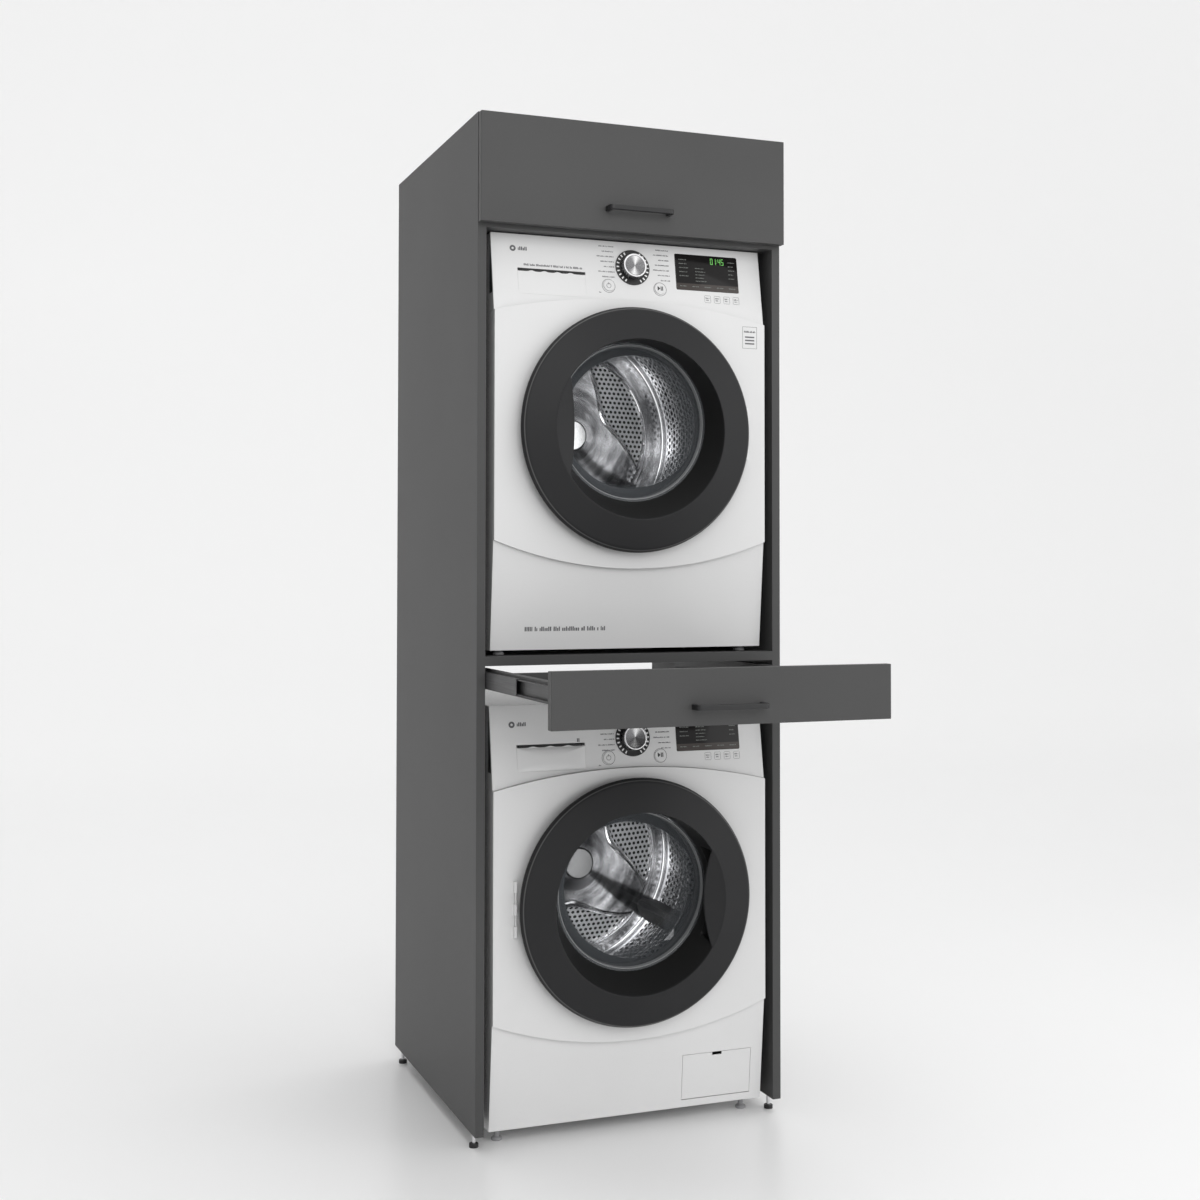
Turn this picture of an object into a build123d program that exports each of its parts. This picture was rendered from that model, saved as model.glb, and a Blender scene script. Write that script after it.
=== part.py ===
from build123d import *
from math import atan2, cos, radians, sin, sqrt
import os

os.makedirs("parts", exist_ok=True)

# Washer dryer stack: a tall cabinet that holds a washing machine on the floor, a pull-out
# laundry drawer above it, a tumble dryer on a shelf and a closed compartment behind a flap.
# X is to the right, Y to the back, Z up. Sizes in mm.
# While drawing, Y = 0 is the plane of the cabinet's front edges; every node is moved on
# export so that the origin is the bottom centre of the whole object.

# --- main sizes --------------------------------------------------------------------------
MACH_W = 604.0          # both machines
MACH_H = 850.0
MACH_D = 615.0          # Y of a machine's rear panel
CAB_D = 663.8           # depth of the cabinet's side panels
BOARD = 18.0            # panel thickness
SIDE_AIR = 18.0         # beside a machine
WASHER_Z = 29.7         # underside of the washing machine's casing
DRAWER_ROOM = 82.9      # from the washing machine's top to the shelf
SHELF_T = 19.0          # shelf that carries the dryer
DRYER_FOOT = 10.5
TOP_AIR = 2.5           # above the dryer
COMPARTMENT_H = 195.7   # clear height of the top compartment

# --- cabinet -----------------------------------------------------------------------------
INNER_W = MACH_W + 2 * SIDE_AIR
CAB_W = INNER_W + 2 * BOARD
CAB_BOTTOM = 30.7       # underside of the side panels
SHELF_TOP = WASHER_Z + MACH_H + DRAWER_ROOM + SHELF_T
DRYER_Z = SHELF_TOP + DRYER_FOOT
FLOOR_TOP = DRYER_Z + MACH_H + TOP_AIR + BOARD
CAB_TOP = FLOOR_TOP + COMPARTMENT_H + BOARD
FRONT_GAP = 4.1         # air between the cabinet's front edges and its fronts
FRONT_T = 18.0          # thickness of flap and drawer front
BACK_T = 8.0            # thin back of the compartment
BACK_INSET = 12.0
RAIL_H = 90.0           # rear rails
FLAP_BOTTOM = FLOOR_TOP - 10.4
FLAP_TOP = CAB_TOP - 2.7

FOOT_INSET = 40.0       # cabinet feet from the front and rear edges
PAD_R = 9.5
PAD_H = 8.0
STEM_R = 4.0
STEM_INSERT = 24.0

# --- bar handles -------------------------------------------------------------------------
HANDLE_L = 144.0
HANDLE_H = 15.5
HANDLE_PROUD = 28.0
GRIP_T = 9.0
POST_W = 19.0
FLAP_HANDLE_Z = FLAP_BOTTOM + 42.3
DRAWER_HANDLE_UP = 34.1  # handle's middle above the drawer front's lower edge

# --- laundry drawer ----------------------------------------------------------------------
PULLED = 430.1          # how far the drawer stands out of its closed place
DRAWER_Z1 = SHELF_TOP - 2.1
DRAWER_Z0 = DRAWER_Z1 - 103.0
DRAWER_HANDLE_Z = DRAWER_Z0 + DRAWER_HANDLE_UP
RUNNER_ROOM = 13.0      # between tray and side panel
TRAY_W = INNER_W - 2 * RUNNER_ROOM
TRAY_SIDE_T = 16.0
TRAY_H = 40.0
TRAY_Z1 = SHELF_TOP - SHELF_T - 8.6
TRAY_Z0 = TRAY_Z1 - TRAY_H
TRAY_L = 520.0          # length of the tray sides behind the front
TRAY_BOTTOM_T = 8.0
BACK_BOARD_FROM = 325.0  # cross board behind the front's inner face
BACK_BOARD_T = 18.0
RUNNER_L = 500.0
RUNNER_T = 1.2
RUNNER_AIR = 0.4        # clearance between the nested runner members
RUNNER_H = TRAY_H - 5.0
RUNNER_START = 20.0

# --- both machines -----------------------------------------------------------------------
SKIN = 4.0              # plastic front parts
SHEET = 2.0             # steel casing
FRONT_BACK_Y = 38.0     # where the front parts meet the casing
TOP_LEAN = 33.0         # set-back of the front at the very top
CREASE_LEAN = 6.0       # set-back at the lower ends of the upper crease
KICK_LEAN = 27.0        # set-back at the bottom
UP_SIDE = 236.0         # upper crease above the door's centre, at the sides
UP_MID = 272.0          # the same in the middle
LOW_SIDE = 229.0        # lower crease below the door's centre, at the sides
LOW_MID = 286.0
SEAM = 0.5
COVER_T = 18.0
REAR_COVER_R = 165.0    # round service cover on the rear panel
GLAND_X = 230.0         # where the mains cord enters
GLAND_Z = 120.0
INLET_R = 13.2          # three-quarter inch water inlet
INLET_X = -220.0
INLET_Z = 760.0
WASHER_DOOR = MACH_H - 404.5  # door centre above the casing's underside
DRYER_DOOR = MACH_H - 398.2

# --- doors -------------------------------------------------------------------------------
DOOR_R = 254.6          # widest line of the rim
DOOR_WIDE_Y = 22.0      # how far that line stands out
DOOR_BACK_R = 246.0     # where the rim nears the machine's face
DOOR_AIR = 0.8
FACE_R = 249.0          # outer edge of the broad face
FACE_OUT = 33.0         # how far that edge stands out
BAND_R = 185.5          # inner edge of the face
BAND_OUT = 48.0
BAND_FLAT = 1.5         # narrow level rim around the hollow
SIGHT_R = 166.0         # clear radius of the window
DRUM_UP = 19.0          # drum, port and window sit above the ring's centre
SIGHT_Y = 10.0          # depth of the window's rim
SEAT = 8.0              # how far the glass reaches behind the ring
PLUG_R = 200.0          # part of the door that enters the port
PLUG_BACK = 28.0
PORT_R = 203.6
GLASS_T = 5.0
BOWL_R = 128.0
BOWL_BACK = 84.0
GRIP_ANGLE = 32.0       # half angle of the pocket for the fingers
GRIP_R = 214.0
GRIP_OUT = 8.0          # floor of the pocket, in front of the machine's face
GRIP_WALL = 5.0
LIP_X = 145.0           # the lip over the pocket comes this near to the centre
LIP_OUT = 36.0          # and stands out this far there
LIP_BOW = 406.0         # radius of its bowed edge
HINGE_X = 256.0
HINGE_Y = -4.8
KNUCKLE_R = 4.0
HINGE_PIN_R = 1.8
PIN_AIR = 0.05
KNUCKLE_L = 22.0
HINGE_GAP = 0.4
HOOK_X = 221.0          # the hook that latches the door
HOOK_REACH = 17.0

# --- drums -------------------------------------------------------------------------------
W_DRUM_R = 245.0
W_DRUM_Y0 = 90.0
W_DRUM_Y1 = 402.0
D_DRUM_R = 262.0
D_DRUM_Y0 = 62.0
D_DRUM_Y1 = 450.0
DRUM_T = 1.6
DOME_R = 212.0          # the back of each drum bows forward inside this radius
DOME_IN = 60.0          # as far as this at the hub
HUB_R = 36.0
MOUTH_R = 167.0
TUB_R = 262.0
TUB_T = 5.0
TUB_Y0 = 80.0
TUB_Y1 = 432.0
SHAFT_R = 12.5
LIFTER_TURN = -57.0     # where the first lifter stands, turned from straight down
LIFTER_H = 42.0
LIFTER_W = 52.0

# --- controls ----------------------------------------------------------------------------
KNOB_R = 26.5
KNOB_H = 16.0
BEZEL_R = 38.5
BEZEL_T = 2.0
KNOB_SHAFT_R = 3.0
KNOB_X = 6.0
BUTTON_R = 12.0
BUTTON_AIR = 0.4
BUTTON_PROUD = 1.6
BUTTON_TRAVEL = 1.5
POWER_X = -49.0
START_X = 66.0
DISPLAY_W = 146.0
DISPLAY_H = 80.0
DISPLAY_X = 177.0
DISPLAY_T = 2.4
DISPLAY_SINK = 2.0
DRYER_KNOB_Z = MACH_H - 54.1    # heights above the casing's underside
WASHER_KNOB_Z = MACH_H - 73.7
DRYER_BUTTON_Z = MACH_H - 95.8
WASHER_BUTTON_Z = MACH_H - 112.2
DRYER_DISPLAY_Z = MACH_H - 55.1
WASHER_DISPLAY_Z = MACH_H - 65.7

# --- small drawers in the fascias -----------------------------------------------------------
BIN_X0 = -247.0
BIN_X1 = -101.0
BIN_H = 47.0            # height of the visible face
BIN_AIR = 0.8
BIN_SLOT = 6.0          # dark grip slot above the face
BIN_WALL = 2.0
BIN_LIP = 4.5
DETERGENT_Z = MACH_H - 132.2
DETERGENT_L = 300.0
TANK_Z = MACH_H - 124.1
TANK_L = 430.0

# --- filter hatch and pump filter --------------------------------------------------------
HATCH_X0 = 118.5
HATCH_X1 = 275.0
HATCH_Z0 = 16.6         # above the casing's underside
HATCH_Z1 = 110.4
HATCH_T = 3.0
HATCH_AIR = 0.8
HATCH_PIN_R = 1.3
FILTER_R = 27.0
FILTER_X = 196.0
FILTER_Z = 62.0


def slab(x0, x1, y0, y1, z0, z1):
    """Box between two corners."""
    return Pos((x0 + x1) / 2, (y0 + y1) / 2, (z0 + z1) / 2) * Box(x1 - x0, y1 - y0, z1 - z0)


def rod_y(r, y0, y1, x=0.0, z=0.0):
    """Cylinder along Y."""
    return Pos(x, (y0 + y1) / 2, z) * Rot(90, 0, 0) * Cylinder(r, y1 - y0)


def rod_x(r, x0, x1, y, z):
    """Cylinder along X."""
    return Pos((x0 + x1) / 2, y, z) * Rot(0, 90, 0) * Cylinder(r, x1 - x0)


def rod_z(r, z0, z1, x, y):
    """Cylinder along Z."""
    return Pos(x, y, (z0 + z1) / 2) * Cylinder(r, z1 - z0)


def turned(points, z):
    """Solid of revolution about the machine's axis, from (radius, y) points."""
    face = make_face(Polyline(*points, close=True))
    return Pos(0, 0, z) * revolve(face, Axis.Y, 360)


def along_x(points, half):
    """Prism along X from (y, z) points."""
    face = Plane.YZ * make_face(Polyline(*points, close=True))
    return extrude(face, amount=half, both=True)


def arc_region(half, side_a, mid_a, side_b, mid_b):
    """Region in X and Z between two level lines, each straight or an arc through its middle."""
    def line(side, mid, way):
        if abs(side - mid) < 1e-6:
            return Line((-half * way, side), (half * way, side))
        return ThreePointArc((-half * way, side), (0, mid), (half * way, side))

    low = line(side_a, mid_a, 1)
    right = Line((half, side_a), (half, side_b))
    high = line(side_b, mid_b, -1)
    left = Line((-half, side_b), (-half, side_a))
    face = Plane.XZ * make_face(Curve() + [low, right, high, left])
    return extrude(face, amount=100, both=True)


NODES = {}


def keep(name, shape):
    """Remember a node; a list of separate solids becomes a compound."""
    if isinstance(shape, (list, tuple)):
        shape = Compound(children=list(shape))
    NODES[name] = shape


# ===== cabinet ===========================================================================
half_in = INNER_W / 2
half_out = CAB_W / 2
foot_x = half_in + BOARD / 2
foot_ys = (FOOT_INSET, CAB_D - FOOT_INSET)

for side, name in ((-1, "side_panel_left"), (1, "side_panel_right")):
    xa = half_in * side
    xb = half_out * side
    panel = slab(min(xa, xb), max(xa, xb), 0, CAB_D, CAB_BOTTOM, CAB_TOP)
    for y in foot_ys:
        panel -= rod_z(STEM_R + PIN_AIR, CAB_BOTTOM - 1, CAB_BOTTOM + STEM_INSERT, side * foot_x, y)
    keep(name, panel)

keep("top_panel", slab(-half_in, half_in, 0, CAB_D, CAB_TOP - BOARD, CAB_TOP))
keep("compartment_floor", slab(-half_in, half_in, 0, CAB_D, FLOOR_TOP - BOARD, FLOOR_TOP))
keep("dryer_shelf", slab(-half_in, half_in, 0, CAB_D, SHELF_TOP - SHELF_T, SHELF_TOP))
back_y = CAB_D - BACK_INSET
keep("compartment_back", slab(-half_in, half_in, back_y - BACK_T, back_y, FLOOR_TOP, CAB_TOP - BOARD))
rear_rails = []
for z in (CAB_BOTTOM, SHELF_TOP + 380, FLOOR_TOP - BOARD - RAIL_H):
    rear_rails.append(slab(-half_in, half_in, CAB_D - BOARD, CAB_D, z, z + RAIL_H))
keep("rear_rails", rear_rails)

stems = []
pads = []
for x in (-foot_x, foot_x):
    for y in foot_ys:
        stems.append(rod_z(STEM_R, PAD_H, CAB_BOTTOM + STEM_INSERT, x, y))
        pad = rod_z(PAD_R, 0, PAD_H, x, y)
        pads.append(fillet(pad.edges().sort_by(Axis.Z)[-1], 1.5))
keep("cabinet_foot_stems", stems)
keep("cabinet_foot_pads", pads)


def front_board(y0, z0, z1):
    """Flat front of flap or drawer, with softened edges."""
    board = slab(-half_out, half_out, y0, y0 + FRONT_T, z0, z1)
    return chamfer(board.edges(), 0.6)


def bar_handle(y_face, z):
    """Square bar on two foot blocks, standing out of a front whose face is at y_face."""
    y0 = y_face - HANDLE_PROUD
    half = HANDLE_L / 2
    handle = slab(-half, half, y0, y0 + GRIP_T, z - HANDLE_H / 2, z + HANDLE_H / 2)
    for side in (-1, 1):
        xa = side * half
        xb = side * (half - POST_W)
        handle += slab(min(xa, xb), max(xa, xb), y0, y_face, z - HANDLE_H / 2, z + HANDLE_H / 2)
    return chamfer(handle.edges().filter_by(Axis.X), 0.8)


# ===== flap ==============================================================================
flap_y = -FRONT_GAP - FRONT_T
keep("flap_door", front_board(flap_y, FLAP_BOTTOM, FLAP_TOP))
keep("flap_handle", bar_handle(flap_y, FLAP_HANDLE_Z))

# Two slim butt hinges folded into the gap behind the flap's top edge.
fold_y = -FRONT_GAP / 2
fold_r = 1.7
fold_pin = 0.8
leaf_t = 1.2
leaf_h = 14.0
leaf_seg = 20.0
cab_leaves = []
door_leaves = []
fold_pins = []
for x in (-210.0, 210.0):
    def seg(i):
        return (x + (i - 1.5) * leaf_seg + 0.2, x + (i - 0.5) * leaf_seg - 0.2)

    low = FLAP_TOP - fold_r - 0.4
    whole = (x - 1.5 * leaf_seg + 0.2, x + 1.5 * leaf_seg - 0.2)
    cab = slab(whole[0], whole[1], -leaf_t, 0, FLAP_TOP - leaf_h, low)
    door = slab(whole[0], whole[1], -FRONT_GAP, -FRONT_GAP + leaf_t, FLAP_TOP - leaf_h, low)
    for i in (0, 1, 2):
        xa, xb = seg(i)
        knuckle = rod_x(fold_r, xa, xb, fold_y, FLAP_TOP)
        if i == 1:
            door += knuckle + slab(xa, xb, -FRONT_GAP, -FRONT_GAP + leaf_t, low - 1, FLAP_TOP)
        else:
            cab += knuckle + slab(xa, xb, -leaf_t, 0, low - 1, FLAP_TOP)
    hole = rod_x(fold_pin + PIN_AIR, whole[0] - 1, whole[1] + 1, fold_y, FLAP_TOP)
    cab_leaves.append(cab - rod_x(fold_pin, whole[0] - 1, whole[1] + 1, fold_y, FLAP_TOP))
    door_leaves.append(door - hole)
    fold_pins.append(rod_x(fold_pin, whole[0], whole[1], fold_y, FLAP_TOP))
keep("flap_hinge_leaves", cab_leaves + fold_pins)
keep("flap_hinge_door_leaves", door_leaves)

# ===== laundry drawer, drawn where it stands: pulled out by PULLED ============================
drawer_y = -FRONT_GAP - FRONT_T - PULLED
tray_y0 = drawer_y + FRONT_T
tray_y1 = tray_y0 + TRAY_L
keep("drawer_front", front_board(drawer_y, DRAWER_Z0, DRAWER_Z1))
keep("drawer_handle", bar_handle(drawer_y, DRAWER_HANDLE_Z))
tray_half = TRAY_W / 2
tray_in = tray_half - TRAY_SIDE_T
keep("drawer_sides", [
    slab(-tray_half, -tray_in, tray_y0, tray_y1, TRAY_Z0, TRAY_Z1),
    slab(tray_in, tray_half, tray_y0, tray_y1, TRAY_Z0, TRAY_Z1),
])
keep("drawer_bottom", slab(-tray_in, tray_in, tray_y0, tray_y1, TRAY_Z0, TRAY_Z0 + TRAY_BOTTOM_T))
board_y = tray_y0 + BACK_BOARD_FROM
keep("drawer_back", slab(-tray_in, tray_in, board_y, board_y + BACK_BOARD_T,
                         TRAY_Z0 + TRAY_BOTTOM_T, TRAY_Z1))


def channel(x_web, way, depth, y0, length, height):
    """Runner member: a web with a lip at top and bottom that points towards the tray."""
    z_mid = (TRAY_Z0 + TRAY_Z1) / 2
    za = z_mid - height / 2
    zb = z_mid + height / 2
    xe = x_web + way * depth
    xt = x_web + way * RUNNER_T
    web = slab(min(x_web, xt), max(x_web, xt), y0, y0 + length, za, zb)
    low = slab(min(x_web, xe), max(x_web, xe), y0, y0 + length, za, za + RUNNER_T)
    top = slab(min(x_web, xe), max(x_web, xe), y0, y0 + length, zb - RUNNER_T, zb)
    return web + low + top


runner_gap = half_in - tray_half
cab_rails = []
mid_rails = []
tray_rails = []
mid_h = RUNNER_H - 2 * (RUNNER_T + RUNNER_AIR)
tray_h = mid_h - 2 * (RUNNER_T + RUNNER_AIR)
for side in (-1, 1):
    way = -side
    cab_rails.append(channel(side * half_in, way, runner_gap - 2.5, RUNNER_START, RUNNER_L, RUNNER_H))
    mid_x = side * (half_in - RUNNER_T - RUNNER_AIR)
    mid_rails.append(channel(mid_x, way, runner_gap - 4.5, RUNNER_START - PULLED / 2, RUNNER_L, mid_h))
    tray_rails.append(channel(side * tray_half, side, runner_gap - 3.6, RUNNER_START - PULLED, RUNNER_L, tray_h))
keep("runner_cabinet_rails", cab_rails)
keep("runner_middle_rails", mid_rails)
keep("runner_drawer_rails", tray_rails)

# ===== machines ==========================================================================
half_w = MACH_W / 2


def fascia_y(z0, zc, z):
    """Y of the fascia's face at height z."""
    t = (z - zc - UP_SIDE) / (z0 + MACH_H - zc - UP_SIDE)
    return CREASE_LEAN + (TOP_LEAN - CREASE_LEAN) * t


def kick_y(z0, zc, z):
    """Y of the kick panel's face at height z."""
    t = (zc - LOW_SIDE - z) / (zc - LOW_SIDE - z0)
    return CREASE_LEAN + (KICK_LEAN - CREASE_LEAN) * t


def fascia_points(z0, zc, back, inset=0.0):
    za = zc + UP_SIDE - 10
    zb = z0 + MACH_H
    ya = fascia_y(z0, zc, za) + inset
    yb = fascia_y(z0, zc, zb) + inset
    return [(ya, za), (yb, zb), (back, zb), (back, za)]


def kick_points(z0, zc, back, inset=0.0):
    za = z0
    zb = zc - LOW_SIDE + 10
    ya = kick_y(z0, zc, za) + inset
    yb = kick_y(z0, zc, zb) + inset
    return [(ya, za), (back, za), (back, zb), (yb, zb)]


def band_points(zc, back, inset=0.0):
    za = zc - LOW_MID - 10
    zb = zc + UP_MID + 10
    return [(inset, za), (back, za), (back, zb), (inset, zb)]


def pan(make_points, lows, highs):
    """Shallow tray of SKIN thickness: a face that leans, and rims back to FRONT_BACK_Y."""
    outer = along_x(make_points(FRONT_BACK_Y, 0.0), half_w) & arc_region(half_w, *lows, *highs)
    inner = along_x(make_points(FRONT_BACK_Y + 5, SKIN), half_w)
    inner &= arc_region(half_w - SKIN, lows[0] + SKIN, lows[1] + SKIN, highs[0] - SKIN, highs[1] - SKIN)
    return outer - inner


def on_fascia(z0, zc, x, z):
    """Plane on the fascia's face, facing out."""
    lean = atan2(TOP_LEAN - CREASE_LEAN, z0 + MACH_H - zc - UP_SIDE)
    n = (0, -cos(lean), sin(lean))
    return Plane(origin=(x, fascia_y(z0, zc, z), z), x_dir=(1, 0, 0), z_dir=n)


def bin_region(z_low, grow, top):
    """Prism along Y for a small drawer's face, with rounded lower corners."""
    xa = BIN_X0 - grow
    xb = BIN_X1 + grow
    za = z_low - grow
    box = slab(xa, xb, -30, 100, za, top)
    return fillet(box.edges().filter_by(Axis.Y).sort_by(Axis.Z)[:2], 7.0 + grow)


def bin_box(z_low, length):
    """Outline of the small drawer's body behind the fascia."""
    return (BIN_X0 + 3, BIN_X1 - 3, FRONT_BACK_Y - 4, FRONT_BACK_Y - 4 + length, z_low + 4, z_low + BIN_H - 5)


def rear_details(kind, z0, zc, y):
    """What stands out of a machine's rear panel: cord gland, service cover, water ends."""
    parts = rod_y(9.0, y - 1, y + 12, GLAND_X, z0 + GLAND_Z)
    parts += slab(GLAND_X - 22, GLAND_X + 22, y - 1, y + 3, z0 + GLAND_Z - 16, z0 + GLAND_Z + 16)
    axis_z = zc + DRUM_UP
    parts += rod_y(REAR_COVER_R, y - 1, y + 4, 0, axis_z) - rod_y(REAR_COVER_R - 14, y, y + 5, 0, axis_z)
    if kind == "washer":
        parts += rod_y(20.0, y - 1, y + 3, INLET_X, z0 + INLET_Z)
        parts += rod_y(INLET_R, y - 1, y + 17, INLET_X, z0 + INLET_Z)
        parts += rod_y(11.0, y - 1, y + 20, INLET_X + 70, z0 + INLET_Z - 30)
    return parts


def beside(side, near, far, y0, y1, z0, z1):
    """Slab between two distances from the middle, on the side given by +1 or -1."""
    return slab(min(side * near, side * far), max(side * near, side * far), y0, y1, z0, z1)


def machine(kind, z0, door, knob_z, button_z, display_z, bin_z, bin_l, grip):
    zc = z0 + door
    z1 = z0 + MACH_H
    # casing: two side walls, a rear panel and a base tray
    y_back = MACH_D
    rear = slab(-half_w, half_w, y_back - SHEET, y_back, z0, z1 - COVER_T)
    rear += rear_details(kind, z0, zc, y_back)
    rear -= rod_y(4.0, y_back + 2, y_back + 30, GLAND_X, z0 + GLAND_Z)
    walls = [
        slab(-half_w, -half_w + SHEET, FRONT_BACK_Y, y_back - SHEET, z0, z1 - COVER_T),
        slab(half_w - SHEET, half_w, FRONT_BACK_Y, y_back - SHEET, z0, z1 - COVER_T),
        rear,
        slab(-half_w + SHEET, half_w - SHEET, FRONT_BACK_Y, y_back - SHEET, z0, z0 + 12),
    ]
    keep(kind + "_casing", walls)
    cover = slab(-half_w, half_w, FRONT_BACK_Y, y_back, z1 - COVER_T, z1)
    keep(kind + "_top_cover", chamfer(cover.edges().group_by(Axis.Z)[-1], 1.5))

    # front: middle band with the door's port, and the kick below the lower crease
    high_lo = (zc + UP_SIDE, zc + UP_MID)
    low_hi = (zc - LOW_SIDE, zc - LOW_MID)
    band = pan(lambda b, i: band_points(zc, b, i), low_hi, high_lo)
    kick = pan(lambda b, i: kick_points(z0, zc, b, i), (z0, z0), low_hi)
    front = band + kick
    front -= rod_y(PORT_R, -1, FRONT_BACK_Y + 1, 0, zc + DRUM_UP)
    # strike slot for the door's hook
    front -= beside(grip, HOOK_X - 5, HOOK_X + 17, -1, FRONT_BACK_Y, zc - 16, zc + 16)

    # fascia
    upper = (high_lo[0] + SEAM, high_lo[1] + SEAM)
    fascia = pan(lambda b, i: fascia_points(z0, zc, b, i), upper, (z1, z1))
    bin_low = bin_z + z0
    fascia -= bin_region(bin_low, BIN_AIR, bin_low + BIN_H + BIN_SLOT)
    # sleeve that guides the small drawer
    bx0, bx1, by0, by1, bz0, bz1 = bin_box(bin_low, bin_l)
    g = BIN_AIR
    w = BIN_WALL
    y_sleeve = fascia_y(z0, zc, bin_low) + SKIN - 1
    sleeve = slab(BIN_X0 - g - w, BIN_X1 + g + w, y_sleeve, by1 + 6, bin_low - g - w, bin_low + BIN_H + BIN_SLOT + w)
    sleeve &= slab(-400, 400, y_sleeve, 700, z0, z1)
    hollow = slab(BIN_X0 - g, BIN_X1 + g, y_sleeve - 1, by1 + 4, bin_low - g, bin_low + BIN_H + BIN_SLOT)
    sleeve = sleeve - hollow
    # the sleeve starts behind the leaning face
    sleeve &= along_x(fascia_points(z0, zc, 700, SKIN * 0.5), half_w)
    fascia += sleeve

    # knob, its black bezel and shaft hole
    pk = on_fascia(z0, zc, KNOB_X, z0 + knob_z)
    fascia -= pk * Cylinder(KNOB_SHAFT_R + 3, 20)
    bezel = pk * (Pos(0, 0, BEZEL_T / 2) * Cylinder(BEZEL_R, BEZEL_T))
    bezel += pk * (Pos(0, 0, -SKIN / 2) * Cylinder(KNOB_SHAFT_R + 2.9, SKIN))
    bezel -= pk * Cylinder(KNOB_SHAFT_R + PIN_AIR, 30)
    BEZELS.append(bezel)
    knob = pk * (Pos(0, 0, BEZEL_T + 0.4 + KNOB_H / 2) * Cone(KNOB_R, KNOB_R - 3, KNOB_H))
    knob += pk * (Pos(0, 0, -5) * Cylinder(KNOB_SHAFT_R, 20))
    keep(kind + "_program_knob", knob)

    # two push buttons
    for bx, name in ((POWER_X, "power"), (START_X, "start")):
        pb = on_fascia(z0, zc, bx, z0 + button_z)
        fascia -= pb * Cylinder(BUTTON_R + BUTTON_AIR, 30)
        top = BUTTON_PROUD
        cap = pb * (Pos(0, 0, top - 6) * Cylinder(BUTTON_R, 12))
        keep(kind + "_" + name + "_button", cap)

    # display window let into the fascia
    pd = on_fascia(z0, zc, DISPLAY_X, z0 + display_z)
    window = Pos(0, 0, DISPLAY_T / 2 - DISPLAY_SINK) * Box(DISPLAY_W, DISPLAY_H, DISPLAY_T)
    window = fillet(window.edges().filter_by(Axis.Z), 3.0)
    fascia -= pd * (Pos(0, 0, 5 - DISPLAY_SINK) * fillet(
        Box(DISPLAY_W, DISPLAY_H, 10).edges().filter_by(Axis.Z), 3.0))
    DISPLAYS.append(pd * window)
    keep(kind + "_fascia", fascia)

    # small drawer: leaning face with a finger hollow behind its top lip, and a body
    face = along_x(fascia_points(z0, zc, FRONT_BACK_Y, 0.0), half_w)
    face &= bin_region(bin_low, 0.0, bin_low + BIN_H)
    face -= along_x([(y + BIN_LIP, z) for y, z in (
        (fascia_y(z0, zc, bin_low + BIN_H - 16), bin_low + BIN_H - 16),
        (fascia_y(z0, zc, bin_low + BIN_H + 2), bin_low + BIN_H + 2),
        (FRONT_BACK_Y - 4 - BIN_LIP - 1, bin_low + BIN_H + 2),
        (FRONT_BACK_Y - 4 - BIN_LIP - 1, bin_low + BIN_H - 16))], 400) & slab(
            BIN_X0 + 6, BIN_X1 - 6, -20, 60, bin_low, bin_low + BIN_H + 5)
    body = slab(bx0, bx1, by0, by1, bz0, bz1)
    if kind == "washer":
        third = (bx1 - bx0 - 4 * w) / 3
        for i in range(3):
            xa = bx0 + w + i * (third + w)
            body -= slab(xa, xa + third, FRONT_BACK_Y + 4, by1 - w, bz0 + w, bz1 + 5)
        keep("washer_detergent_drawer", face + body)
    else:
        body -= slab(bx0 + w, bx1 - w, FRONT_BACK_Y + 4, by1 - w, bz0 + w, bz1 - w)
        body -= rod_z(16, bz1 - 5, bz1 + 5, (bx0 + bx1) / 2, by1 - 40)
        keep("dryer_water_tank", face + body)

    # door: a ring whose broad face slopes out towards the window, and which narrows behind
    # its widest line; the hollow inside it runs back, and up, to the window's rim
    window_z = zc + DRUM_UP
    ring = turned([
        (0, -BAND_OUT),
        (BAND_R + BAND_FLAT, -BAND_OUT),
        (FACE_R, -FACE_OUT),
        (DOOR_R, -DOOR_WIDE_Y),
        (DOOR_BACK_R, -DOOR_AIR),
        (0, -DOOR_AIR),
    ], zc)
    ring += rod_y(PLUG_R, -DOOR_AIR - 1, PLUG_BACK, 0, window_z)
    mouth = Plane(origin=(0, -BAND_OUT - 0.01, zc), x_dir=(1, 0, 0), z_dir=(0, -1, 0)) * Circle(BAND_R)
    rim = Plane(origin=(0, SIGHT_Y, window_z), x_dir=(1, 0, 0), z_dir=(0, -1, 0)) * Circle(SIGHT_R)
    ring -= loft([mouth, rim])
    ring -= rod_y(SIGHT_R, SIGHT_Y - 0.5, PLUG_BACK + 1, 0, window_z)
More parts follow.
